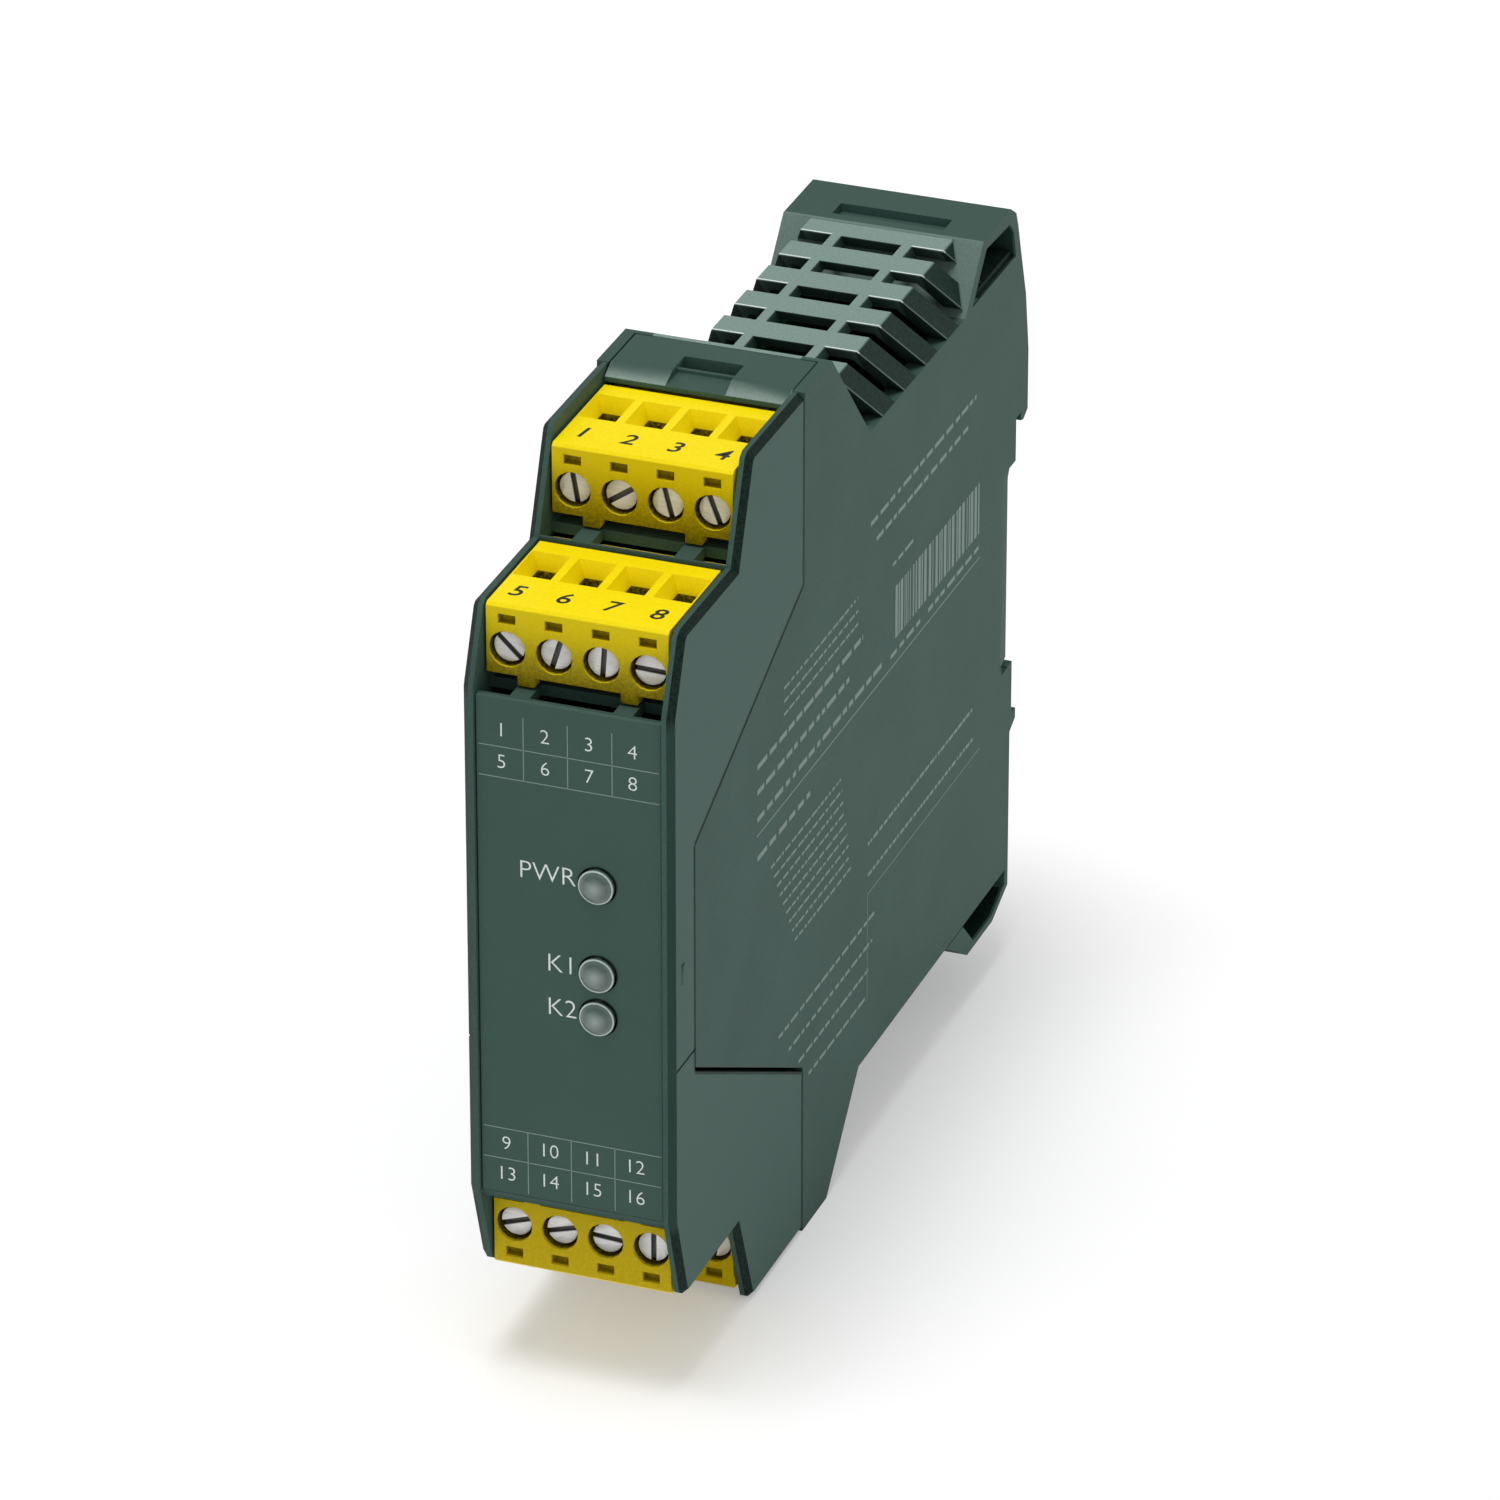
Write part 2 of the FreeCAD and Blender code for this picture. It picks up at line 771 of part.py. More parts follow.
def make_foot():
    """Sliding foot: a plate behind the rear wall, a latch lip, a curved bottom and a screwdriver lug."""
    front = foot_plate_front()
    back = front + foot_thick
    face = seat - foot_face_room
    lip_top = -half_rail - foot_lip_drop
    lip_bottom = lip_top - foot_lip_thick
    lug_level = lower_wall_bottom - gap
    skin_level = foot_floor + foot_skin
    latch = [
        (front, foot_top),
        (face, foot_top),
        (face, -half_rail - rail_room),
        (face + foot_lip_slope, lip_top),
        (seat + foot_lip, lip_top),
        (seat + foot_lip, lip_bottom),
        (back, lip_bottom - foot_lip_root),
        (back, foot_floor + foot_heel_rise),
        (back - foot_heel_length, foot_floor),
        (seat - foot_curve_to_seat, foot_floor),
        (seat - foot_lug_front_to_seat, lug_level),
        (seat - foot_lug_rear_to_seat, lug_level),
        (seat - foot_curve_inner_to_seat, skin_level),
        (back - foot_heel_length - gap, skin_level),
        (front, foot_floor + foot_heel_rise + foot_skin_rise),
    ]
    across = half_width - foot_side_room
    pieces = [prism(latch, -across, across)]
    lip_end = seat + foot_lip
    tongue = [
        (lip_end - touch, lip_bottom),
        (lip_end - touch, lip_top - touch),
        (lip_end, -half_rail + foot_tongue_rise),
        (lip_end + foot_tongue_top, -half_rail + foot_tongue_rise),
        (lip_end + foot_tongue_bulge, lip_top),
        (lip_end + foot_tongue_bulge / 2, lip_bottom),
    ]
    tongue_half = foot_tongue_share * inner_half
    pieces.append(prism(tongue, -tongue_half, tongue_half))
    stem_front = foot_stem_front()
    shoulder_bottom = spring_base() + spring_length
    shoulder_top = shoulder_bottom + foot_shoulder_height
    pieces.append(block(
        (-foot_stem_half, foot_stem_half),
        (stem_front, stem_front + foot_stem_thick),
        (foot_floor + foot_stem_rise, shoulder_top),
    ))
    pieces.append(block(
        (-foot_stem_half, foot_stem_half),
        (seat - spring_to_seat - spring_radius - gap, stem_front + foot_stem_thick),
        (shoulder_bottom, shoulder_top),
    ))
    hole_front = seat - foot_hole_front_to_seat
    hole_level = foot_floor + foot_hole_rise
    hole = block(
        (-foot_hole_half, foot_hole_half),
        (hole_front, hole_front + foot_hole_length),
        (hole_level, hole_level + foot_hole_height),
    )
    return fuse(pieces).cut(hole)


def spring_base():
    return lower_wall_bottom + rear_wall


def make_foot_spring():
    """Coil spring of square wire with its ends ground flat."""
    half = spring_wire_half
    rings = []
    for number in range(spring_turns * spring_steps + 1):
        turn = 2 * math.pi * number / spring_steps
        level = spring_length * number / (spring_turns * spring_steps)
        corners = []
        for out, up in ((-half, -half), (half, -half), (half, half), (-half, half)):
            reach = spring_radius + out
            corners.append(FreeCAD.Vector(reach * math.cos(turn), reach * math.sin(turn), level + up))
        rings.append(Part.makePolygon(corners + corners[:1]))
    coil = Part.makeLoft(rings, True, True)
    room = Part.makeCylinder(2 * spring_radius, spring_length - 2 * touch)
    spring = coil.common(room)
    spring.translate(place(0, seat - spring_to_seat, spring_base() + touch))
    return spring


def plug_body():
    """Housing of the lower top plug; the other three are moved and mirrored copies."""
    face = plug_face
    rear = face + plug_length
    bottom = plug_top - plug_height
    points = [
        (face, bottom),
        (face, plug_top - plug_edge),
        (face + plug_edge, plug_top),
        (rear, plug_top),
        (rear, plug_top - plug_tail_drop),
        (rear + plug_tail, plug_top - plug_tail_drop),
        (rear + plug_tail, bottom),
    ]
    body = prism(points, -plug_half, plug_half)
    latches = []
    for side in (-1, 1):
        centre = side * latch_place
        latches.append(block(
            (centre - latch_half_width, centre + latch_half_width),
            (face, face + latch_length),
            (bottom - latch_drop, bottom + touch),
        ))
    body = fuse([body] + latches)
    return body.cut(Part.makeCompound([pole_cut(across) for across in pole_places]))


def pole_cut(across):
    """Everything cut away for one pole: screw hole, test slot, wire funnel, cage room and contact room."""
    face = plug_face
    level = plug_top - screw_drop
    head_floor = face + screw_head_sink + screw_head_thick + gap
    room_front = face + cage_front - cage_travel - gap
    room_rear = face + cage_front + cage_length + gap
    room_half = cage_half_width() + gap
    floor = plug_top - plug_height + plug_floor
    slot_level = plug_top - test_slot_drop
    cuts = [
        flat_sided_hole(across, level, screw_hole_radius, hole_sides, face - gap, head_floor),
        flat_sided_hole(across, level, screw_shank_radius + running, shank_sides, face, room_front + gap),
        block(
            (across - room_half, across + room_half),
            (room_front, room_rear),
            (floor, level + cage_half_height + gap),
        ),
        block(
            (across - contact_room_half(), across + contact_room_half()),
            (room_rear - touch, face + plug_length + plug_tail + gap),
            (floor, level + contact_spread() + gap),
        ),
        block(
            (across - test_slot_width / 2, across + test_slot_width / 2),
            (face - gap, face + test_slot_depth),
            (slot_level - test_slot_height / 2, slot_level + test_slot_height / 2),
        ),
    ]
    mouth_half = (pitch - funnel_rib) / 2
    hole_half = wire_hole_width / 2
    start = face + funnel_front
    hole = (face + wire_hole_front, face + wire_hole_front + wire_hole_length)
    mouth = rectangle(across, mouth_half, start, start + funnel_length, plug_top)
    neck = rectangle(across, hole_half, *hole, plug_top - funnel_floor)
    cuts.append(tapered(mouth, neck))
    hole_top = plug_top - funnel_floor + touch
    cuts.append(block((across - hole_half, across + hole_half), hole, (level, hole_top)))
    return cuts[0].multiFuse(cuts[1:])


def rectangle(across, half, front, rear, height):
    """Corners of a level rectangle."""
    return [
        place(across - half, front, height),
        place(across + half, front, height),
        place(across + half, rear, height),
        place(across - half, rear, height),
    ]


def cage_half_width():
    return pitch / 2 - cage_side_room


def contact_half():
    return pin_size / 2 + 1.5 * contact_thick


def contact_room_half():
    return contact_half() + gap


def contact_spread():
    return pin_size / 2 + running + contact_thick


def screw(across, angle):
    """Slotted cheese-head screw."""
    level = plug_top - screw_drop
    front = plug_face + screw_head_sink
    head = rod_back(across, level, screw_head_radius, front, front + screw_head_thick)
    ends = (front + screw_head_thick - touch, plug_face + screw_end)
    shank = flat_sided_rod(across, level, screw_shank_radius, shank_sides, *ends)
    half = screw_slot_width / 2
    slot = block(
        (across - 2 * screw_head_radius, across + 2 * screw_head_radius),
        (front - gap, front + screw_slot_depth),
        (level - half, level + half),
    )
    slot.rotate(place(across, front, level), FreeCAD.Vector(0, 1, 0), -angle)
    return head.fuse(shank).removeSplitter().cut(slot)


def clamp_cage(across):
    """Rising cage: a square tube on the screw, open up and down for the wire."""
    level = plug_top - screw_drop
    front = plug_face + cage_front
    rear = front + cage_length
    half = cage_half_width()
    heights = (level - cage_half_height, level + cage_half_height)
    outer = block((across - half, across + half), (front, rear), heights)
    inner = block(
        (across - half + cage_wall, across + half - cage_wall),
        (front + cage_wall_front, rear - cage_wall_rear),
        (heights[0] - gap, heights[1] + gap),
    )
    hole_rear = front + cage_wall_front + gap
    hole = flat_sided_hole(across, level, screw_shank_radius + running, shank_sides, front - gap, hole_rear)
    return outer.cut(inner).cut(hole)


def contact(across):
    """Clamp bar, strip under the cage and a two-leaf socket for the header pin."""
    level = plug_top - screw_drop
    bar_front = plug_face + contact_bar_depth
    strip_level = plug_top - plug_height + plug_floor + touch
    riser = plug_face + cage_front + cage_length + 2 * gap
    half = contact_half()
    end = plug_face + plug_length + plug_tail - gap
    spread = contact_spread()
    leaf = (across - half, across + half)
    bar_half = min(half, cage_half_width() - cage_wall - gap / 2)
    bar = (across - bar_half, across + bar_half)
    return fuse([
        block(bar, (bar_front, bar_front + contact_thick), (strip_level, level + cage_half_height)),
        block(bar, (bar_front, riser), (strip_level, strip_level + contact_thick)),
        block(bar, (riser - touch, riser + contact_thick), (strip_level, level + spread)),
        block(leaf, (riser, end), (level + spread - contact_thick, level + spread)),
        block(leaf, (riser, end), (level - spread, level - spread + contact_thick)),
    ])


def header_front():
    return plug_face + plug_length + plug_tail + gap


def header():
    front = header_front()
    level = plug_top - screw_drop
    heights = (level - header_half_height, level + header_half_height)
    body = block((-plug_half, plug_half), (front, front + header_thick), heights)
    for across in pole_places:
        half = pin_size / 2 + touch
        hole = block(
            (across - half, across + half),
            (front - gap, front + header_thick + gap),
            (level - half, level + half),
        )
        body = body.cut(hole)
    return body


def header_pin(number):
    """Square pin that runs back from the plug, then turns to the board."""
    across = pole_places[number]
    level = plug_top - screw_drop
    half = pin_size / 2
    bend = header_front() + header_thick + pin_stub + number * pin_bend_pitch
    heights = (level - half, level + half)
    return fuse([
        block((across - half, across + half), (header_front() - pin_reach, bend + pin_size), heights),
        block((board_face - board_thick - pin_tip, across + half), (bend, bend + pin_size), heights),
    ])


def plug_places():
    """Where each plug goes: (depth step, height step, below the mirror height)."""
    return (
        (plug_step_depth, plug_step_height, False),
        (0, 0, False),
        (plug_step_depth, plug_step_height, True),
        (0, 0, True),
    )


def settle(shape, spot):
    depth, height, below = spot
    result = moved(shape, depth, height)
    return flip(result) if below else result


def board_outline():
    nose_rear = header_front() + header_thick + touch
    ear_front = nose_rear + plug_step_depth
    rear = seat - spring_to_seat - 2 * spring_radius
    ear_top = plug_top - screw_drop + plug_step_height + pin_size / 2 + board_margin
    nose_top = panel_top - bay_floor - board_nose_room
    step_top = panel_top + plug_step_height - bay_floor - board_floor_room
    rear_top = wall_top - board_rear_room
    upper = [
        (board_front, nose_top),
        (nose_rear, nose_top),
        (nose_rear, step_top),
        (ear_front, step_top),
        (ear_front, ear_top),
        (strip_rear + board_ear_lead, ear_top),
        (strip_foot - board_ear_room, rear_top),
        (rear, rear_top),
    ]
    lower = [(depth, flip_level(height)) for depth, height in reversed(upper)]
    return upper + lower


def make_board():
    board = prism(board_outline(), board_face - board_thick, board_face)
    holes = []
    for spot in plug_places():
        for number in range(poles):
            pin = header_pin(number)
            box = pin.BoundBox
            level = plug_top - screw_drop
            bend = box.YMax - pin_size + front_to_seat
            half = pin_size / 2 + touch
            hole = block(
                (board_face - 2 * board_thick, board_face + gap),
                (bend - touch, bend + pin_size + touch),
                (level - half, level + half),
            )
            holes.append(settle(hole, spot))
    return board.cut(Part.makeCompound(holes))


def make_light_guide(height):
    """Domed lens with a square stem that runs back and turns to the board at a slanted corner."""
    ball = (lens_radius ** 2 + lens_bulge ** 2) / (2 * lens_bulge)
    rim = label_recess - lens_rim
    dome = Part.makeSphere(ball, place(light_across, rim - lens_bulge + ball, height))
    dome = dome.common(rod_back(light_across, height, lens_radius, rim - lens_bulge - gap, rim))
    disc = rod_back(light_across, height, lens_radius, rim, label_recess + label_thick)
    left, right = light_across - guide_half, light_across + guide_half
    front, rear = guide_length - guide_half, guide_length + guide_half
    end = board_face + chip_high
    bent = [
        (left, label_recess),
        (left, front),
        (end, front),
        (end, rear),
        (left, rear),
        (right, front),
        (right, label_recess),
    ]
    return fuse([dome, disc, upright(bent, height - guide_half, height + guide_half)])


def make_lights():
    chips = []
    for height in light_heights:
        chips.append(block(
            (board_face + chip_room, board_face + chip_high - chip_room),
            (guide_length - chip_half_length, guide_length + chip_half_length),
            (height - chip_half_width, height + chip_half_width),
        ))
    return Part.makeCompound(chips)


def make_relay(low):
    tall, long, high = relay_size
    rise = (board_face + touch, board_face + tall)
    body = block(rise, (relay_depth, relay_depth + long), (low, low + high))
    standing = [edge for edge in body.Edges if abs(edge.BoundBox.XLength - tall + touch) < touch]
    return body.makeChamfer(relay_corner, standing)


def make_transformer():
    tall, long, high = transformer_size
    low = mirror_height - high / 2
    core = block(
        (board_face + touch, board_face + tall),
        (transformer_depth, transformer_depth + long),
        (low, low + high),
    )
    waist = coil_waist * high
    over = coil_overhang * long
    coil = block(
        (board_face + coil_lift * tall, board_face + (1 + coil_overhang) * tall),
        (transformer_depth - over, transformer_depth + long + over),
        (low + waist, low + high - waist),
    )
    return core.fuse(coil).removeSplitter()


def build():
    shapes["tub"] = make_tub()
    shapes["front_hood"] = make_front_hood()
    shapes["label_plate"] = make_label_plate()
    shapes["cover_plate_upper"] = make_cover_plate(plate_rear)
    shapes["cover_plate_lower"] = flip(make_cover_plate(plate_rear - lower_set_back))
    shapes["rail_foot"] = make_foot()
    shapes["foot_spring"] = make_foot_spring()
    shapes["circuit_board"] = make_board()
    for number, height in enumerate(light_heights):
        shapes["light_guide_%d" % (number + 1)] = make_light_guide(height)
    shapes["light_chips"] = make_lights()
    relay_high = relay_size[2]
    shapes["safety_relay_upper"] = make_relay(mirror_height + relay_gap / 2)
    shapes["safety_relay_lower"] = make_relay(mirror_height - relay_gap / 2 - relay_high)
    shapes["transformer"] = make_transformer()
    pins = []
    body = plug_body()
    for index, spot in enumerate(plug_places()):
        plug = index + 1
        shapes["plug_%d" % plug] = settle(body, spot)
        shapes["header_%d" % plug] = settle(header(), spot)
        contacts = []
        for number, across in enumerate(pole_places):
            pole = index * poles + number + 1
            angle = slot_angles[(pole - 1) % len(slot_angles)]
            if spot[2]:
                angle = -angle
            shapes["screw_%d" % pole] = settle(screw(across, angle), spot)
            shapes["clamp_cage_%d" % pole] = settle(clamp_cage(across), spot)
            contacts.append(settle(contact(across), spot))
            pins.append(settle(header_pin(number), spot))
        shapes["contacts_%d" % plug] = Part.makeCompound(contacts)
    shapes["header_pins"] = Part.makeCompound(pins)


build()
os.makedirs("parts", exist_ok=True)
for name, shape in shapes.items():
    shape.exportStep("parts/%s.step" % name)
    box = shape.BoundBox
    print(name, len(shape.Solids), shape.isValid(), round(box.XMin, 2), round(box.XMax, 2),
          round(box.YMin, 2), round(box.YMax, 2), round(box.ZMin, 2), round(box.ZMax, 2))
print("parts", len(shapes))
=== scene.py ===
"""The safety relay's looks: moulded housing, yellow plugs, screws, lenses and print."""

import json
import math

import bmesh
import bpy
import numpy as np
from mathutils import Matrix, Vector

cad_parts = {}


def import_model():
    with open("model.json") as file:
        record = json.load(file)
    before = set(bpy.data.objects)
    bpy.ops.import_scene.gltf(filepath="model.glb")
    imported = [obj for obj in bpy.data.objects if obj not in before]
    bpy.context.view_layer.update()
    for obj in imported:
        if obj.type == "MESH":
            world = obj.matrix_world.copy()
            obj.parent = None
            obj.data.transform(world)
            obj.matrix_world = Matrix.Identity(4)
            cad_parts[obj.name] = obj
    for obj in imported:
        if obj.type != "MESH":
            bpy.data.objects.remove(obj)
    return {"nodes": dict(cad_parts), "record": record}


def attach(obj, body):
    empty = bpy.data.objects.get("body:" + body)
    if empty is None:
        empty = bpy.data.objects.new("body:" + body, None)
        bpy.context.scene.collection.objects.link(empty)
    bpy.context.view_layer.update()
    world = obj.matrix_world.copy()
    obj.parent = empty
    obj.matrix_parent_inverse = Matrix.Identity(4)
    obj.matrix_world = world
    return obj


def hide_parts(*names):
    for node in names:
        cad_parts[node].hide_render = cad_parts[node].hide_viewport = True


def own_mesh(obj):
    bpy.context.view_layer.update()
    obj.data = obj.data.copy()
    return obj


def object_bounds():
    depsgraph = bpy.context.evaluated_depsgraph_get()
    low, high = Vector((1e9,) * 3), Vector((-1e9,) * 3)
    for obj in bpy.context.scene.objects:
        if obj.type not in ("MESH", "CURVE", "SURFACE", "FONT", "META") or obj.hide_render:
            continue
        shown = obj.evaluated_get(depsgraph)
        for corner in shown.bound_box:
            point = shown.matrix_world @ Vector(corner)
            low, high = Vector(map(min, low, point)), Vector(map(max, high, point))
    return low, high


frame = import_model()
cad_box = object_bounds()
mm = 0.001

home = {
    node: body
    for body, nodes in frame["record"]["behaviour"]["bodies"].items()
    for node in nodes
}


# Shader maths


def srgb(red, green, blue):
    """A screen colour, 0 to 255 a channel, as the linear colour that shaders use."""
    screen = np.array([red, green, blue]) / 255
    linear = np.where(screen <= 0.04045, screen / 12.92, ((screen + 0.055) / 1.055) ** 2.4)
    return (*linear.tolist(), 1.0)


class Link:
    """One socket of a shader, on which numbers can be worked out with plain operators."""

    def __init__(self, tree, socket):
        self.tree = tree
        self.socket = socket

    def math(self, operation, *values):
        return node(self.tree, "Math", {"operation": operation}, dict(enumerate((self, *values))))

    def __add__(self, other):
        return self.math("ADD", other)

    def __sub__(self, other):
        return self.math("SUBTRACT", other)

    def __rsub__(self, other):
        return node(self.tree, "Math", {"operation": "SUBTRACT"}, {0: other, 1: self})

    def __mul__(self, other):
        return self.math("MULTIPLY", other)

    def __truediv__(self, other):
        return self.math("DIVIDE", other)

    def __pow__(self, other):
        return self.math("POWER", other)

    def __abs__(self):
        return self.math("ABSOLUTE")

    def fraction(self):
        return self.math("FRACT")

    def clamp(self):
        return node(self.tree, "Clamp", {}, {"Value": self})

    def step(self, low, high):
        """0 below low, 1 above high, smooth between."""
        settings = {"interpolation_type": "SMOOTHSTEP"}
        return node(self.tree, "MapRange", settings, {"Value": self, "From Min": low, "From Max": high})

    def between(self, low, high, soft=0.05):
        """1 between low and high, 0 outside, with soft ends."""
        return self.step(low - soft, low + soft) * (1.0 - self.step(high - soft, high + soft))

    __radd__ = __add__
    __rmul__ = __mul__


def node(tree, kind, settings, inputs, output=0):
    """Adds one shader node: settings first, then the values or links of its sockets."""
    made = tree.nodes.new("ShaderNode" + kind)
    for name, value in settings.items():
        setattr(made, name, value)
    for key, value in inputs.items():
        if isinstance(value, Link):
            tree.links.new(value.socket, made.inputs[key])
        else:
            made.inputs[key].default_value = value
    return Link(tree, made.outputs[output])


def mix_colour(tree, share, first, second):
    """Blends two colours; share 0 gives the first."""
    made = tree.nodes.new("ShaderNodeMix")
    made.data_type = "RGBA"
    sockets = {"Factor": made.inputs[0], "A": made.inputs[6], "B": made.inputs[7]}
    for name, value in (("Factor", share), ("A", first), ("B", second)):
        if isinstance(value, Link):
            tree.links.new(value.socket, sockets[name])
        else:
            sockets[name].default_value = value
    return Link(tree, made.outputs[2])


def object_place(tree):
    return node(tree, "TexCoord", {}, {}, "Object")


def part_axes(tree):
    """Across, depth from the front and height of the point being shaded, all in millimetres."""
    place = object_place(tree)
    across, depth, height = (node(tree, "SeparateXYZ", {}, {0: place}, axis) for axis in "XYZ")
    return across * 1000.0, depth * 1000.0 + seat_depth, height * 1000.0


def facing(tree, axis):
    """How much the surface faces along one axis, from 0 to 1."""
    normal = node(tree, "TexCoord", {}, {}, "Normal")
    return abs(node(tree, "SeparateXYZ", {}, {0: normal}, axis))


def noise(tree, place, scale, detail=2.0, rough=0.5):
    """Smooth noise from 0 to 1 whose lumps are about one over scale metres across."""
    inputs = {"Vector": place, "Scale": scale, "Detail": detail, "Roughness": rough}
    return node(tree, "TexNoise", {}, inputs, "Fac")


def bump(tree, height, depth, strength=1.0):
    """Surface relief; depth is the height of 1 in metres."""
    return node(tree, "Bump", {}, {"Height": height, "Distance": depth, "Strength": strength}, "Normal")


def finish_material(name, build):
    """A new material whose main shader is set up by build(tree, shader)."""
    made = bpy.data.materials.new(name)
    made.use_nodes = True
    tree = made.node_tree
    build(tree, tree.nodes["Principled BSDF"])
    return made


def connect(tree, shader, **sockets):
    """Sets or links sockets of the main shader; an underscore in a name stands for a space."""
    for name, value in sockets.items():
        socket = shader.inputs[name.replace("_", " ")]
        if isinstance(value, Link):
            tree.links.new(value.socket, socket)
        else:
            socket.default_value = value


# Places on the part, in millimetres: depth counts from the hood's front, height from the middle of the rail


seat_depth = 104.4
side_face = 11.25
label_face = 0.35
mirror_height = 1.25

wall_top = 36.9
comb_top = 43.45
comb_front = 46.3
comb_start_slant = 1.89
comb_flat_half = 8.0
slat_slant = 0.9
slat_pitch = 6.7
slat_last_edge = 88.9
slat_broken_half = 4.4
slat_lines_from = 55.2

cap_foot = 86.8
cap_slant = 0.87
pocket_low = 37.0
pocket_high = 42.4
pocket_bottom = 8.0
pocket_back = 103.6
pocket_back_slant = 0.21

loop_low = -40.8
loop_high = -30.0
loop_front = 87.4
loop_rear = 102.2
loop_half = 10.8

hood_nose = 5.93
hood_nose_top = 14.2
hood_nose_bottom = -11.7
hood_rear = 37.5
hood_rise = (28.6 - hood_nose_top) / (hood_rear - hood_nose)
hood_fall = (28.3 + hood_nose_bottom) / (hood_rear - hood_nose)
seam_half = 0.3
bays_from = 28.0

plate_bevel_front = 36.0
plate_bevel_rear = 38.1
plate_finger_half = 3.2

plug_front = 3.0
plug_level = 39.1
pole_pitch = 5.0
holes_half = 9.5
holes_deep = 7.5
slot_top = 0.85
slot_bottom = 2.25
slot_length = 2.0
screw_hole_top = 2.6
screw_hole_length = 4.0
wire_hole_top = 1.65
wire_hole_end = 18.2
screw_slot_floor = 0.85
plug_set_back = 18.1
plug_spots = (
    (plug_set_back, 9.35, False, 1),
    (0.0, 0.0, False, 5),
    (plug_set_back, 9.35, True, 9),
    (0.0, 0.0, True, 13),
)

lens_across = 2.93
lens_rim_reach = 1.79
lens_rim_wire = 0.1
light_levels = (10.8, 0.75, -4.2)


# Materials


def moulded(name, dark, light, grain, relief, rough, patchy=0.03, zones=None, shine=0.08):
    """Moulded plastic: a spark-eroded grain, faint clouding of the colour, and gloss that follows it.

    zones(tree) gives (share, colour) pairs, each painted over the last where its share is 1.
    """

    def build(tree, shader):
        place = object_place(tree)
        fine = noise(tree, place, grain, 3.0, 0.6)
        cloud = noise(tree, place, 90.0, 2.0)
        share = (fine * 0.7 + cloud * 0.3).step(0.3, 0.7)
        colour = mix_colour(tree, share, dark, light)
        for zone, tint in zones(tree) if zones else ():
            spot = fine.step(0.35, 0.65) * 0.22 + 0.78
            colour = mix_colour(tree, zone * spot, colour, tint)
        gloss = fine * patchy * 4 + (rough - patchy * 2)
        connect(tree, shader, Base_Color=colour, Roughness=gloss, Normal=bump(tree, fine, relief))
        connect(tree, shader, Specular_IOR_Level=shine)

    return finish_material(name, build)


def seam(tree):
    """1 on the sides along the joint between hood and tub, whose edges catch no light."""
    across, depth, height = part_axes(tree)
    above = height - hood_nose_top - (depth - hood_nose) * hood_rise
    below = hood_nose_bottom - height - (depth - hood_nose) * hood_fall
    on_slope = depth.between(hood_nose, hood_rear)
    line = above.between(-seam_half, seam_half) * on_slope
    line = line + below.between(-seam_half, seam_half) * on_slope
    rear_line = depth.between(hood_rear - seam_half, hood_rear + seam_half)
    line = line + rear_line * above.step(0.0, 0.1)
    line = line + rear_line * below.step(0.0, 0.1)
    inner = (1.0 - above.step(0.0, 0.1)) * (1.0 - below.step(0.0, 0.1))
    line = line + depth.between(hood_nose - seam_half, hood_nose + seam_half) * inner
    return line.clamp() * facing(tree, "X").step(0.5, 0.6) * 0.85


def upward(tree):
    """1 where the surface faces up or down."""
    return facing(tree, "Z").step(0.5, 0.7)


def tub_zones(tree):
    """The comb's tops are painted pale and its slopes darker, as painted light and shade, and each slat's
    front edge has a painted highlight; the cap's front slope is painted pale as painted light, and top
    faces, sloped side edges, the seam and the side pocket get painted shade.

    Behind, lean and start are the depth with a share of the height taken off, so that each stays the same
    along a slanted plane: the cap's front, a slat's front and the comb's first edge.
    """
    across, depth, height = part_axes(tree)
    side = abs(across)
    over = height.step(wall_top, wall_top + 0.1)
    behind = depth - cap_foot - (height - wall_top) * cap_slant
    lean = depth - (comb_top - height) * slat_slant
    start = depth - (comb_top - height) * comb_start_slant
    comb_part = over * (1.0 - behind.step(-0.5, -0.3)) * start.step(comb_front, comb_front + 0.3)
    at_top = height.step(comb_top - 0.25, comb_top - 0.15)
    flat = comb_part * at_top * (1.0 - side.step(comb_flat_half, comb_flat_half + 0.1))
    off_wall = 1.0 - facing(tree, "X").step(0.9, 0.95) * side.step(side_face - 0.25, side_face - 0.15)
    sloped = comb_part * (1.0 - at_top) * side.step(comb_flat_half - 0.3, comb_flat_half - 0.1) * off_wall
    cap_front = over * behind.between(-0.3, 0.3)
    pocket = height.between(pocket_low, pocket_high) * behind.step(0.5, 0.6)
    pocket = pocket * side.between(pocket_bottom, side_face - 0.25)
    back = depth + (height - wall_top) * pocket_back_slant
    pocket = pocket * (1.0 - back.step(pocket_back, pocket_back + 0.1))
    past_edge = ((lean - slat_last_edge) / slat_pitch).fraction() * slat_pitch
    line = past_edge.between(0.05, 0.3, 0.06) * comb_part
    line = line * side.step(slat_broken_half, slat_broken_half + 0.2)
    line = line * lean.step(slat_lines_from, slat_lines_from + 0.1)
    on_top = height.step(comb_top - 0.45, comb_top - 0.25)
    rim = facing(tree, "X").between(0.4, 0.8, 0.1)
    return (
        (upward(tree), top_painted_shade),
        (rim * (1.0 - over), painted_shade),
        (seam(tree), painted_shade),
        (sloped, comb_slope_painted_shade),
        (flat, comb_top_painted_light),
        (cap_front, cap_slope_painted_light),
        (pocket * 0.75, painted_shade),
        (line * on_top, painted_highlight),
        (line * (1.0 - on_top) * 0.5, painted_highlight_pale),
    )


def foot_zones(tree):
    """The hollow of the foot's loop is painted dark, as painted shade."""
    across, depth, height = part_axes(tree)
    hollow = height.between(loop_low, loop_high) * depth.between(loop_front, loop_rear)
    return ((hollow * (1.0 - abs(across).step(loop_half, loop_half + 0.1)), painted_shade),)


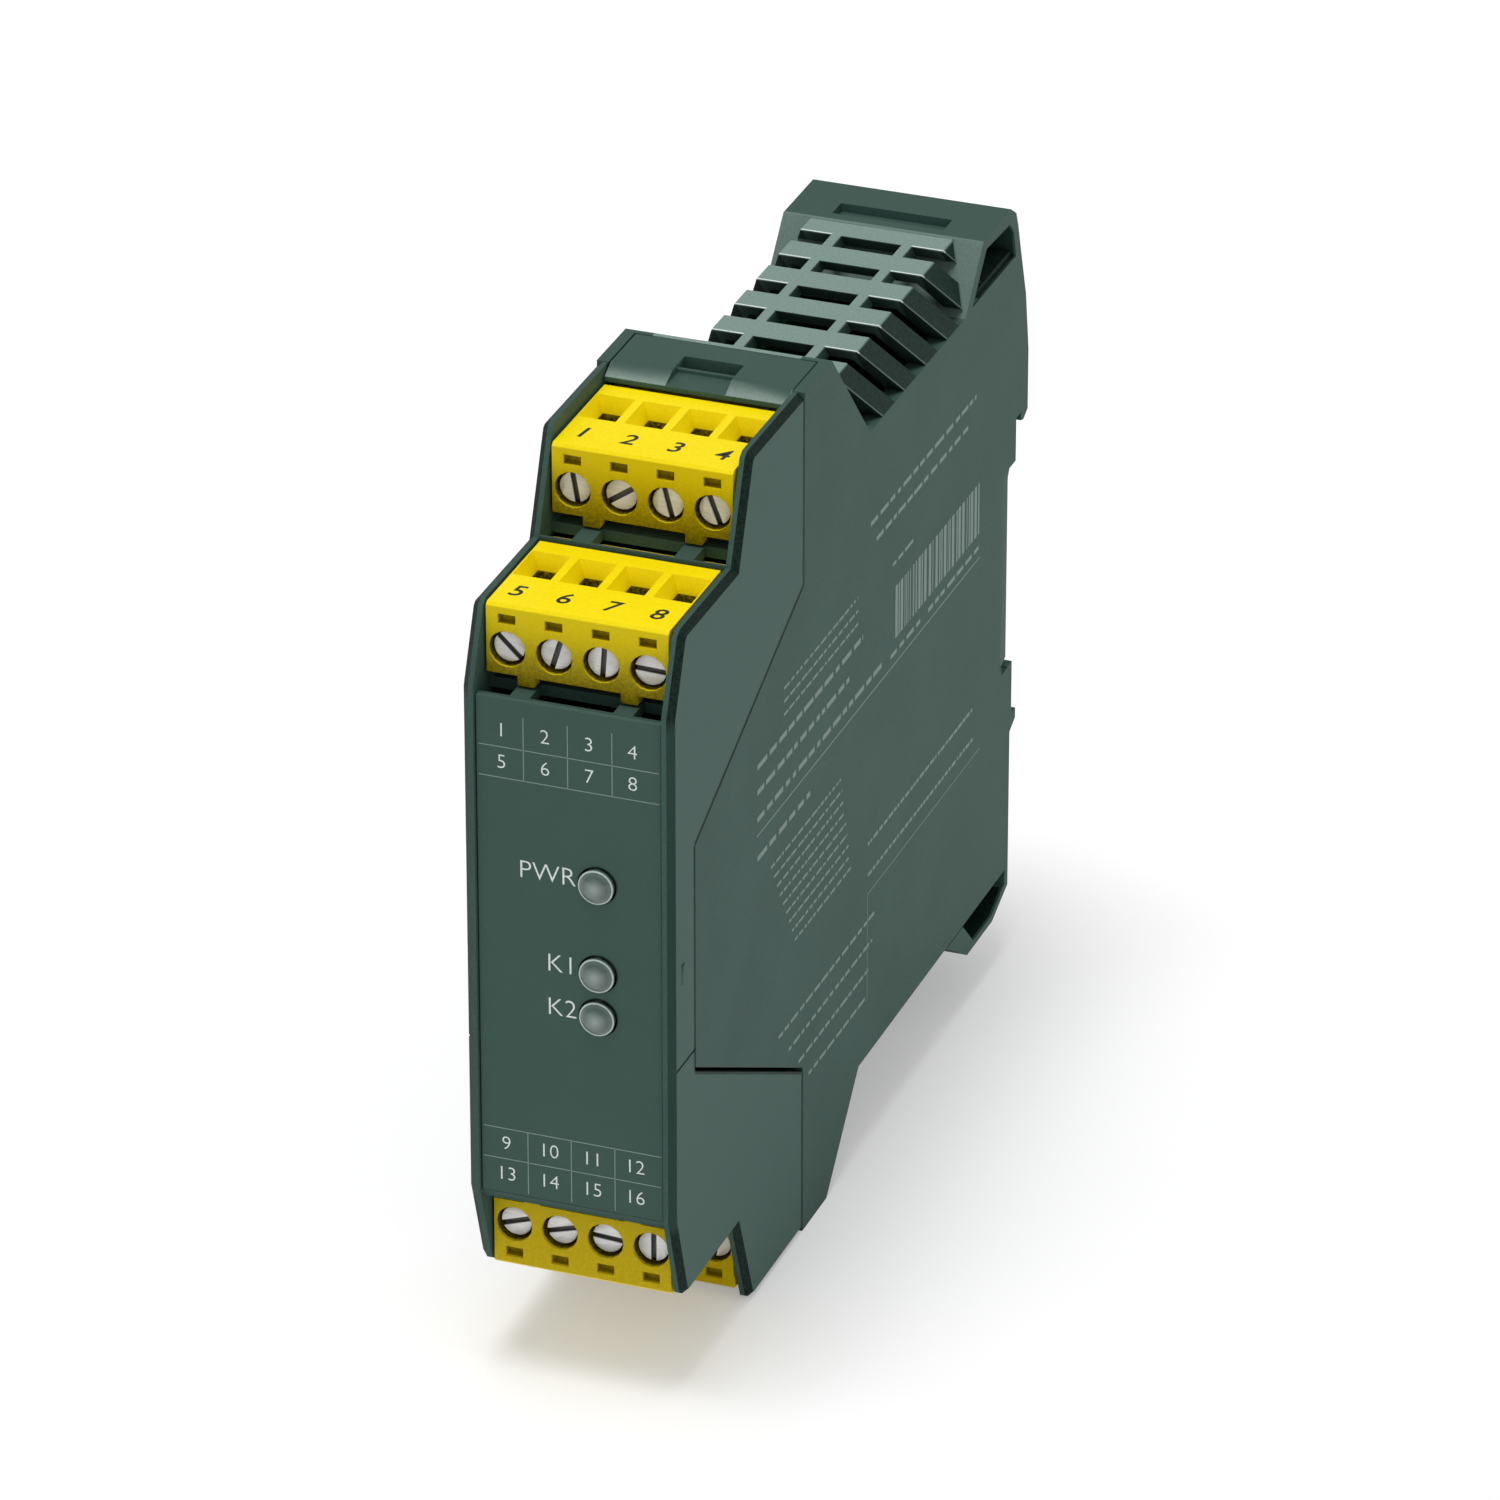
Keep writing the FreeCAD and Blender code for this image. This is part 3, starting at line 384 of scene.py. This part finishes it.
def label_zones(tree):
    """A shade beside each lens, on the side away from the key light."""
    across, depth, height = part_axes(tree)
    shade = 0.0
    for level in light_levels:
        reach = ((across - lens_across - 0.17) ** 2.0 + (height - level - 0.2) ** 2.0) ** 0.5
        shade = (1.0 - reach.step(1.9, 2.15)) + shade
    return ((shade.clamp(), painted_shade),)


def hood_zones(tree):
    """The sides are painted a little paler than the front as painted light; the sloped edges between them
    are painted dark, top faces darker and the seam dark, as painted shade.
    """
    side = facing(tree, "X")
    level = part_axes(tree)[2]
    beside_plugs = abs(level - mirror_height).step(bays_from, bays_from + 2.0) * 0.4 + 0.6
    edge = side.between(0.4, 0.85, 0.1) * beside_plugs
    return (
        (upward(tree), top_painted_shade),
        (side.step(0.9, 0.98), side_painted_light),
        (edge, painted_shade),
        (seam(tree), painted_shade),
    )


def plate_zones(tree):
    """The bevel along the front of a cover plate is painted pale as a painted highlight, and top faces are
    painted darker as painted shade.
    """
    across, depth, height = part_axes(tree)
    bevel = depth.between(plate_bevel_front, plate_bevel_rear) * facing(tree, "Z").between(0.6, 0.95)
    bevel = bevel * abs(across).step(plate_finger_half, plate_finger_half + 0.1)
    return (upward(tree), top_painted_shade), (bevel, plate_bevel_highlight)


def plug_material(name, face, level, out):
    """Yellow plug plastic with painted shade: darker on the front, darker still towards the bottom of the
    front on the plugs above and over the whole front of the plugs below, and dark inside its slots and
    holes.

    face is the depth of the front and level the height of the outer side, which faces up where out is 1.
    """
    front_shade, foot_shade = (yellow_front_painted_shade, yellow_foot_painted_shade) if out > 0 else (yellow_under_painted_shade, yellow_under_painted_shade)

    def zones(tree):
        across, depth, height = part_axes(tree)
        drop = (level - height) * out
        inner = (1.0 - abs(across).step(holes_half, holes_half + 0.1))
        inner = inner * (1.0 - drop.step(holes_deep, holes_deep + 0.1))
        front = 1.0 - depth.step(face + 0.02, face + 0.1)
        foot = front * drop.step(0.5, 8.5)
        slot = depth.between(face + 0.3, face + slot_length) * drop.between(slot_top, slot_bottom)
        screw_hole = depth.between(face + 0.3, face + screw_hole_length, 0.25)
        screw_hole = screw_hole * drop.step(screw_hole_top, screw_hole_top + 0.2)
        wire_hole = depth.between(face + screw_hole_length, face + wire_hole_end)
        wire_hole = wire_hole * drop.step(wire_hole_top, wire_hole_top + 0.1)
        return (
            (front, front_shade),
            (foot * 0.95, foot_shade),
            (slot * inner, yellow_slot_painted_shade),
            (screw_hole * inner, yellow_hole_painted_shade),
            (wire_hole * inner, yellow_hole_painted_shade),
        )

    return moulded(name, yellow_top_dark, yellow_top_light, 3000.0, 0.00001, 0.42, 0.02, zones, 0.12)


def zinc(name, tint, rough, brushed_along, shade_from=None, metal=0.9):
    """Zinc-plated steel with fine turning lines along one axis, a cloudy plating and, where a depth is
    given, painted shade beyond it.
    """

    def build(tree, shader):
        place = object_place(tree)
        stretch = [9000.0, 9000.0, 9000.0]
        stretch[brushed_along] = 500.0
        lines = node(tree, "Mapping", {}, {"Vector": place, "Scale": stretch})
        streak = noise(tree, lines, 1.0, 2.0)
        cloud = noise(tree, place, 700.0, 2.0)
        worn = [channel * 0.8 for channel in tint[:3]] + [1]
        shade = mix_colour(tree, (streak * 0.5 + cloud * 0.5).step(0.3, 0.7), worn, tint)
        if shade_from is not None:
            depth = part_axes(tree)[1]
            shade = mix_colour(tree, depth.step(shade_from, shade_from + 0.15) * 0.92, shade, screw_slot_painted_shade)
        connect(tree, shader, Base_Color=shade, Metallic=metal, Roughness=cloud * 0.2 + rough)
        connect(tree, shader, Normal=bump(tree, streak, 0.000004))

    return finish_material(name, build)


def lens_material(name, level):
    """Slightly milky clear plastic with a soft painted highlight in the middle and a ring of painted shade
    round it; level is the height of the lens.
    """

    def build(tree, shader):
        across, depth, height = part_axes(tree)
        cloud = noise(tree, object_place(tree), 900.0, 2.0)
        reach = ((across - lens_across) ** 2.0 + (height - level) ** 2.0) ** 0.5
        middle = (1.0 - reach.step(0.0, 1.2)) * 0.7
        ring = reach.between(1.15, 1.45, 0.15) * 0.5
        body = mix_colour(tree, cloud, lens_dark, lens_light)
        body = mix_colour(tree, middle, body, lens_painted_highlight)
        body = mix_colour(tree, ring, body, lens_ring_painted_shade)
        connect(tree, shader, Base_Color=body, Roughness=cloud * 0.08 + 0.12)
        shader.inputs["Transmission Weight"].default_value = 0.35
        shader.inputs["IOR"].default_value = 1.49
        shader.inputs["Coat Weight"].default_value = 0.4

    return finish_material(name, build)


def ink(name, colour, rough=0.5):
    """Printed ink with an uneven coat."""

    def build(tree, shader):
        place = object_place(tree)
        grain = noise(tree, place, 6000.0, 2.0)
        fade = [c * 0.82 for c in colour[:3]] + [1]
        coat = mix_colour(tree, grain.step(0.3, 0.7), fade, colour)
        connect(tree, shader, Base_Color=coat, Roughness=rough)

    return finish_material(name, build)


def laminate(name):
    """Green board laminate with a faint glass weave and a varnish sheen."""

    def build(tree, shader):
        place = object_place(tree)
        weave = node(tree, "TexWave", {"bands_direction": "Y"}, {"Vector": place, "Scale": 900.0}, "Fac")
        cross = node(tree, "TexWave", {"bands_direction": "Z"}, {"Vector": place, "Scale": 900.0}, "Fac")
        share = (weave * cross) * 0.5 + noise(tree, place, 300.0) * 0.5
        connect(tree, shader, Base_Color=mix_colour(tree, share, srgb(20, 74, 42), srgb(38, 104, 60)))
        connect(tree, shader, Roughness=share * 0.1 + 0.25, Normal=bump(tree, weave * cross, 0.00001))

    return finish_material(name, build)


housing_dark = srgb(60, 87, 80)
housing_light = srgb(70, 98, 90)
# painted shade: top faces are painted darker to offset the key light from above
top_painted_shade = srgb(60, 82, 75)
label_dark = srgb(66, 90, 83)
label_light = srgb(71, 95, 88)
# the lens rims' pale colour is a painted highlight
rim_highlight_dark = srgb(176, 194, 186)
rim_highlight_light = srgb(196, 212, 205)
# painted light: the hood's sides are painted paler than its front
side_painted_light = srgb(76, 103, 95)
# painted shade for sloped edges, the seam, recesses, the foot's hollow and beside the lenses
painted_shade = srgb(12, 28, 23)
# painted highlights on the slats' front edges, full on top and half on the slopes
painted_highlight = srgb(214, 226, 220)
painted_highlight_pale = srgb(128, 148, 140)
# painted light on the comb's tops and painted shade on its slopes
comb_top_painted_light = srgb(126, 148, 140)
comb_slope_painted_shade = srgb(21, 40, 34)
# painted light on the cap's front slope
cap_slope_painted_light = srgb(104, 124, 117)
# painted highlight on the cover plates' front bevel
plate_bevel_highlight = srgb(132, 150, 142)
lens_dark = srgb(98, 120, 113)
lens_light = srgb(112, 136, 128)
# painted highlight in the lens's middle and painted shade in a ring round it
lens_painted_highlight = srgb(188, 204, 197)
lens_ring_painted_shade = srgb(70, 92, 84)
# painted shade in the screw slots
screw_slot_painted_shade = srgb(62, 60, 58)
screw_bright = srgb(250, 250, 252)
yellow_top_dark = srgb(240, 214, 2)
yellow_top_light = srgb(248, 224, 6)
# painted shade on the plugs: the fronts, the bottom of the fronts, the fronts of the plugs below, the slots
# and the holes
yellow_front_painted_shade = srgb(226, 202, 0)
yellow_foot_painted_shade = srgb(112, 97, 0)
yellow_under_painted_shade = srgb(196, 170, 0)
yellow_slot_painted_shade = srgb(150, 132, 6)
yellow_hole_painted_shade = srgb(54, 42, 6)

slot_floor = plug_front + screw_slot_floor

paint = {
    "tub": moulded("housing_plastic", housing_dark, housing_light, 3800.0, 0.00002, 0.55, zones=tub_zones),
    "hood": moulded("hood_plastic", housing_dark, housing_light, 3800.0, 0.00002, 0.55, zones=hood_zones),
    "plate": moulded("plate_plastic", housing_dark, housing_light, 3800.0, 0.00002, 0.5, zones=plate_zones),
    "foot": moulded("foot_plastic", housing_dark, housing_light, 3800.0, 0.00002, 0.55, zones=foot_zones),
    "label": moulded("label_film", label_dark, label_light, 5200.0, 0.000008, 0.5, 0.015, label_zones),
    "black": moulded("header_plastic", srgb(24, 26, 27), srgb(36, 38, 39), 3600.0, 0.00002, 0.5),
    "white": moulded("relay_plastic", srgb(222, 220, 212), srgb(236, 234, 226), 3600.0, 0.00001, 0.4),
    "screw_front": zinc("screw_zinc_front", screw_bright, 0.4, 0, slot_floor, 0.1),
    "screw_rear": zinc("screw_zinc_rear", screw_bright, 0.4, 0, slot_floor + plug_set_back, 0.1),
    "cage": zinc("cage_zinc", srgb(150, 150, 150), 0.3, 1),
    "spring": zinc("spring_steel", srgb(176, 180, 184), 0.28, 2),
    "tin": zinc("tinned_brass", srgb(214, 208, 186), 0.26, 1),
    "rim": moulded("lens_rim", rim_highlight_dark, rim_highlight_light, 3000.0, 0.000005, 0.25, 0.02, shine=0.5),
    "board": laminate("board_laminate"),
    "pale_ink": ink("pale_ink", srgb(236, 246, 241)),
    "line_ink": ink("line_ink", srgb(130, 152, 144)),
    "side_ink": ink("side_ink", srgb(116, 140, 131)),
    "black_ink": ink("black_ink", srgb(22, 22, 20)),
}
for number, level in enumerate(light_levels):
    paint["lens_%d" % (number + 1)] = lens_material("clear_lens_%d" % (number + 1), level)
for number, (back, rise, below, first) in enumerate(plug_spots):
    level = plug_level + rise
    if below:
        level = 2 * mirror_height - level
    name = "plug_%d" % (number + 1)
    paint[name] = plug_material(name + "_plastic", plug_front + back, level, -1.0 if below else 1.0)


# Pieces that take over from CAD nodes, with their edges rounded


def put_in_scene(name, mesh, material, body):
    """A finished piece at the origin that moves with a body."""
    made = bpy.data.objects.new(name, mesh)
    bpy.context.collection.objects.link(made)
    mesh.materials.clear()
    mesh.materials.append(material)
    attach(made, body)
    return made


def merged_copy(node_name):
    """The node's mesh with its loose triangles joined."""
    mesh = frame["nodes"][node_name].data.copy()
    work = bmesh.new()
    work.from_mesh(mesh)
    bmesh.ops.remove_doubles(work, verts=work.verts, dist=0.000002)
    work.to_mesh(mesh)
    work.free()
    return mesh


def eased(node_name, material, radius=0.0, segments=2, sharp=30.0):
    """The node again with rounded edges: each edge sharper than the given angle gets a small radius."""
    mesh = merged_copy(node_name)
    mesh.shade_smooth()
    piece = put_in_scene(node_name + "_skin", mesh, material, home[node_name])
    if radius:
        rounding = piece.modifiers.new("rounding", "BEVEL")
        rounding.width = radius * mm
        rounding.segments = segments
        rounding.limit_method = "ANGLE"
        rounding.angle_limit = math.radians(sharp)
        rounding.harden_normals = True
        rounding.use_clamp_overlap = True
        rounding.miter_outer = "MITER_ARC"
        flat_faces = piece.modifiers.new("flat_faces", "WEIGHTED_NORMAL")
        flat_faces.weight = 100
        flat_faces.keep_sharp = True
    else:
        mesh.set_sharp_from_angle(angle=math.radians(sharp))
    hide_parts(node_name)
    return piece


def dress(node_name, material):
    """A CAD node that is shown as it is, in its finished material."""
    mesh = frame["nodes"][node_name].data
    mesh.materials.clear()
    mesh.materials.append(material)


eased("tub", paint["tub"], 0.12)
eased("front_hood", paint["hood"], 0.12)
eased("label_plate", paint["label"], 0.06)
eased("cover_plate_upper", paint["plate"], 0.1)
eased("cover_plate_lower", paint["plate"], 0.1)
eased("rail_foot", paint["foot"], 0.12)
for number in range(1, 5):
    eased("plug_%d" % number, paint["plug_%d" % number], 0.08)
    dress("header_%d" % number, paint["black"])
    dress("contacts_%d" % number, paint["tin"])
for number in range(1, 4):
    eased("light_guide_%d" % number, paint["lens_%d" % number])
for number in range(1, 17):
    row = "front" if (number - 1) // 4 % 2 else "rear"
    eased("screw_%d" % number, paint["screw_" + row], 0.05, 1)
    eased("clamp_cage_%d" % number, paint["cage"], 0.05, 1)
for name in ("safety_relay_upper", "safety_relay_lower"):
    eased(name, paint["white"], 0.3)
eased("transformer", paint["black"], 0.2)
spring = eased("foot_spring", paint["spring"], sharp=40.0)
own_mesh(spring)
dress("light_chips", paint["white"])
dress("circuit_board", paint["board"])
dress("header_pins", paint["tin"])


# Rims round the lenses, pale as a painted highlight


def lens_rim(number, level):
    """Ring round a lens: a small circle carried round a larger one, as a grid of two turning angles."""
    round_ring = np.linspace(0, 2 * np.pi, 48, endpoint=False)
    round_wire = np.linspace(0, 2 * np.pi, 10, endpoint=False)
    around, section = np.meshgrid(round_ring, round_wire, indexing="ij")
    reach = lens_rim_reach + lens_rim_wire * np.cos(section)
    points = np.stack([
        lens_across + reach * np.cos(around),
        0.02 + lens_rim_wire * np.sin(section) - seat_depth,
        level + reach * np.sin(around),
    ], axis=-1).reshape(-1, 3) * mm
    index = np.arange(around.size).reshape(around.shape)
    after = np.roll(index, -1, axis=0)
    faces = np.stack([index, after, np.roll(after, -1, axis=1), np.roll(index, -1, axis=1)], axis=-1)
    mesh = bpy.data.meshes.new("lens_rim_%d" % number)
    mesh.from_pydata(points.tolist(), [], faces.reshape(-1, 4).tolist())
    mesh.shade_smooth()
    put_in_scene("lens_rim_%d" % number, mesh, paint["rim"], "housing")


for number, level in enumerate(light_levels):
    lens_rim(number + 1, level)


# Print


def strips(name, corners, normal, material, body, raise_by=0.015):
    """Printed bars from n by 4 corner points in millimetres: each is a thin flat box on its surface."""
    low = np.asarray(corners, float) + np.asarray(normal) * raise_by * 0.2
    high = np.asarray(corners, float) + np.asarray(normal) * raise_by
    count = len(low)
    points = np.concatenate([low, high], axis=1).reshape(-1, 3) * mm
    first = np.arange(count)[:, None] * 8
    quads = np.array([[3, 2, 1, 0], [4, 5, 6, 7], [0, 1, 5, 4], [1, 2, 6, 5], [2, 3, 7, 6], [3, 0, 4, 7]])
    faces = (first[:, :, None] + quads[None]).reshape(-1, 4)
    mesh = bpy.data.meshes.new(name)
    mesh.from_pydata(points.tolist(), [], faces.tolist())
    work = bmesh.new()
    work.from_mesh(mesh)
    bmesh.ops.recalc_face_normals(work, faces=work.faces)
    work.to_mesh(mesh)
    work.free()
    return put_in_scene(name, mesh, material, body)


def on_label(left, right, low, high):
    """A bar on the label plate, as four points."""
    y = label_face - seat_depth
    return [(left, y, low), (right, y, low), (right, y, high), (left, y, high)]


def on_side(front, rear, low, high):
    """A bar on the right side wall, as four points."""
    return [
        (side_face, front - seat_depth, low),
        (side_face, rear - seat_depth, low),
        (side_face, rear - seat_depth, high),
        (side_face, front - seat_depth, high),
    ]


def words(name, text, size, across, up, place, material, body, slant=0.0, align="CENTER", thin=0.0):
    """Lettering as a thin raised mesh; across and up are the directions of its lines and of its letters."""
    raise_by = 0.02
    curve = bpy.data.curves.new(name, "FONT")
    curve.body = text
    curve.size = size
    curve.offset = -thin
    curve.shear = slant
    curve.align_x = align
    curve.align_y = "CENTER"
    curve.extrude = raise_by / 2
    curve.resolution_u = 3
    holder = bpy.data.objects.new(name + "_curve", curve)
    bpy.context.collection.objects.link(holder)
    mesh = bpy.data.meshes.new_from_object(holder.evaluated_get(bpy.context.evaluated_depsgraph_get()))
    bpy.data.objects.remove(holder)
    across, up = Vector(across), Vector(up)
    out = across.cross(up)
    turn = Matrix((across, up, out)).transposed().to_4x4()
    centre = Vector(place) + out * raise_by / 2
    mesh.transform(Matrix.Scale(mm, 4) @ Matrix.Translation(centre) @ turn)
    return put_in_scene(name, mesh, material, body)


grid_half = 9.65
grid_columns = (-4.8, -0.08, 4.66)
column_centres = (-7.15, -2.5, 2.2, 6.85)
grid_rows = (24.67, 21.23, -18.99, -22.51)
grid_top = 28.3
grid_bottom = -26.2
rule_half = 0.05
number_rows = ((26.5, 1), (22.95, 5), (-20.75, 9), (-24.3, 13))
across_axis = (1, 0, 0)
up_axis = (0, 0, 1)


def label_grid():
    """Number fields at the top and the bottom of the label: lines between them, then the numbers."""
    bars = []
    for height in grid_rows:
        bars.append(on_label(-grid_half, grid_half, height - rule_half, height + rule_half))
    for across in grid_columns:
        bars.append(on_label(across - rule_half, across + rule_half, grid_rows[1], grid_top))
        bars.append(on_label(across - rule_half, across + rule_half, grid_bottom, grid_rows[2]))
    strips("label_lines", bars, (0, -1, 0), paint["line_ink"], "housing")
    for height, first in number_rows:
        for column, across in enumerate(column_centres):
            number = first + column
            place = (across, label_face - seat_depth, height)
            words("label_number_%d" % number, str(number), 2.25, across_axis, up_axis, place,
                  paint["pale_ink"], "housing", thin=0.03)


def light_names():
    """A short name to the left of each lens."""
    for text, height in (("PWR", 11.2), ("K1", 1.1), ("K2", -3.9)):
        place = (0.75, label_face - seat_depth, height)
        words("light_name_" + text.lower(), text, 2.9, across_axis, up_axis, place,
              paint["pale_ink"], "housing", align="RIGHT", thin=0.04)


def plug_numbers():
    """Slanted numbers on the outer face of each plug, in front of its wire funnels."""
    for index, (back, rise, below, first) in enumerate(plug_spots):
        level = plug_level + rise
        out = 1
        if below:
            level = 2 * mirror_height - level
            out = -1
        for pole in range(4):
            number = first + pole
            place = ((pole - 1.5) * pole_pitch - 0.2, plug_front + 3.3 + back - seat_depth, level)
            words("plug_number_%d" % number, str(number), 3.2, across_axis, (0, out, 0), place,
                  paint["black_ink"], "plug_unit_%d" % (index + 1), slant=0.15, thin=-0.03)


label_grid()
light_names()
plug_numbers()


def greeked(rng, front, rear, level, height, word):
    """A line of type with no letters in it: short bars of seeded lengths with word gaps."""
    bars = []
    place = front
    while place < rear:
        length = float(rng.uniform(0.5, 1.6)) * word
        end = min(place + length, rear)
        bars.append(on_side(place, end, level - height / 2, level + height / 2))
        place = end + float(rng.uniform(0.25, 0.5)) * word
    return bars


# Lines of dashes on the side: where each starts and ends, its level and the height of its dashes
side_lines = (
    (57.8, 91.0, 26.1, 0.5),
    (59.6, 89.1, 23.6, 0.5),
    (64.8, 71.0, 18.2, 0.4),
    (24.0, 55.6, 14.1, 0.6),
    (24.0, 51.4, 11.2, 0.6),
    (24.0, 61.4, 8.1, 0.6),
    (24.0, 39.8, 3.6, 0.6),
    (64.2, 73.5, 7.6, 0.5),
    (76.0, 92.6, 7.6, 0.5),
)
bar_field_front = 65.6
bar_field_rear = 92.7
bar_field_low = 9.2
bar_field_high = 15.3
table_front = 57.4
table_rear = 93.3
table_top = -17.2
table_bottom = -30.2


def side_print():
    """Faint print on the right wall: lines of plain dashes, a bar field, a rule and a table's corner."""
    rng = np.random.default_rng(7)
    bars = []
    for front, rear, level, height in side_lines:
        bars += greeked(rng, front, rear, level, height, 1.8)
    for row in range(9):
        bars += greeked(rng, 28.0 + 0.9 * row, 49.0 + 0.4 * row, 0.6 - row * 1.5, 0.3, 1.1)
    for row in range(3):
        bars += greeked(rng, 31.8, 54.0, 19.4 - row * 1.5, 0.3, 1.1)
    for row in range(4):
        bars += greeked(rng, 30.4 + 3 * row, 60.0 - row, -20.5 - row * 3.0, 0.4, 1.4)
    for level in (-11.3, -15.0):
        bars += greeked(rng, 57.5, 91.0, level, 0.4, 0.9)
    place = bar_field_front
    while place < bar_field_rear:
        wide = float(rng.choice([0.25, 0.4, 0.75]))
        bars.append(on_side(place, place + wide, bar_field_low, bar_field_high))
        place += wide + float(rng.choice([0.25, 0.45, 0.7]))
    bars.append(on_side(23.8, bar_field_rear, 6.2, 6.35))
    bars.append(on_side(table_front, table_rear, table_top - 0.1, table_top))
    bars.append(on_side(table_front, table_front + 0.1, table_bottom, table_top))
    strips("side_print", bars, (1, 0, 0), paint["side_ink"], "housing")


side_print()


# Floor, light and camera


def floor():
    """A wide pale floor under the lowest point: flat, then rising behind as the distance squared."""
    low = cad_box[0][2]
    along, over = np.meshgrid(np.linspace(-3.0, 3.0, 13), np.linspace(-3.0, 4.0, 40))
    rise = np.where(over > 2.0, (over - 2.0) ** 2 * 0.6, 0.0) + low
    points = np.stack([along, over, rise], axis=-1).reshape(-1, 3)
    rows, width = over.shape
    index = np.arange(rows * width).reshape(rows, width)
    corners = [index[:-1, :-1], index[:-1, 1:], index[1:, 1:], index[1:, :-1]]
    faces = np.stack(corners, axis=-1).reshape(-1, 4)
    mesh = bpy.data.meshes.new("floor")
    mesh.from_pydata(points.tolist(), [], faces.tolist())
    mesh.shade_smooth()

    def build(tree, shader):
        rays = ("Is Camera Ray", "Is Glossy Ray", "Is Transmission Ray")
        camera_ray, glossy_ray, clear_ray = (node(tree, "LightPath", {}, {}, ray) for ray in rays)
        seen = (camera_ray + glossy_ray + clear_ray).clamp()
        pale = mix_colour(tree, seen, (0.93, 0.93, 0.93, 1), (0.75, 0.75, 0.75, 1))
        glow = mix_colour(tree, seen, (0, 0, 0, 1), (0.3, 0.3, 0.3, 1))
        connect(tree, shader, Base_Color=pale, Roughness=0.9, Specular_IOR_Level=0.1)
        connect(tree, shader, Emission_Color=glow, Emission_Strength=1.0)

    mesh.materials.append(finish_material("pale_floor", build))
    made = bpy.data.objects.new("floor", mesh)
    bpy.context.collection.objects.link(made)


def lamp(name, place, aim, size, power):
    """A rectangular soft light that faces a point."""
    data = bpy.data.lights.new(name, "AREA")
    data.shape = "RECTANGLE"
    data.size, data.size_y = size
    data.energy = power
    made = bpy.data.objects.new(name, data)
    bpy.context.collection.objects.link(made)
    made.location = place
    made.rotation_euler = (Vector(aim) - Vector(place)).to_track_quat("-Z", "Y").to_euler()


def camera(azimuth, elevation, distance, lens, aim):
    """A camera on a sphere round a point, turned to the right and raised by angles in degrees."""
    data = bpy.data.cameras.new("camera")
    data.lens = lens
    data.sensor_width = 36.0
    data.clip_end = 20.0
    made = bpy.data.objects.new("camera", data)
    bpy.context.collection.objects.link(made)
    turn, tilt = math.radians(azimuth), math.radians(elevation)
    back = Vector((math.sin(turn) * math.cos(tilt), -math.cos(turn) * math.cos(tilt), math.sin(tilt)))
    made.location = Vector(aim) + back * distance
    made.rotation_euler = (-back).to_track_quat("-Z", "Y").to_euler()
    bpy.context.scene.camera = made


def world(strength):
    """Plain white light from all round."""
    made = bpy.data.worlds.new("studio")
    made.use_nodes = True
    made.node_tree.nodes["Background"].inputs["Color"].default_value = (1, 1, 1, 1)
    made.node_tree.nodes["Background"].inputs["Strength"].default_value = strength
    bpy.context.scene.world = made


floor()
world(0.5)
lamp("key", (-0.1, -0.2, 1.3), (0, -0.05, 0), (0.5, 0.5), 10.5)
camera(20.42, 27.36, 1.0242, 234.18, (-0.00042, -0.0512, -0.0001))
bpy.context.scene.view_settings.view_transform = "Standard"
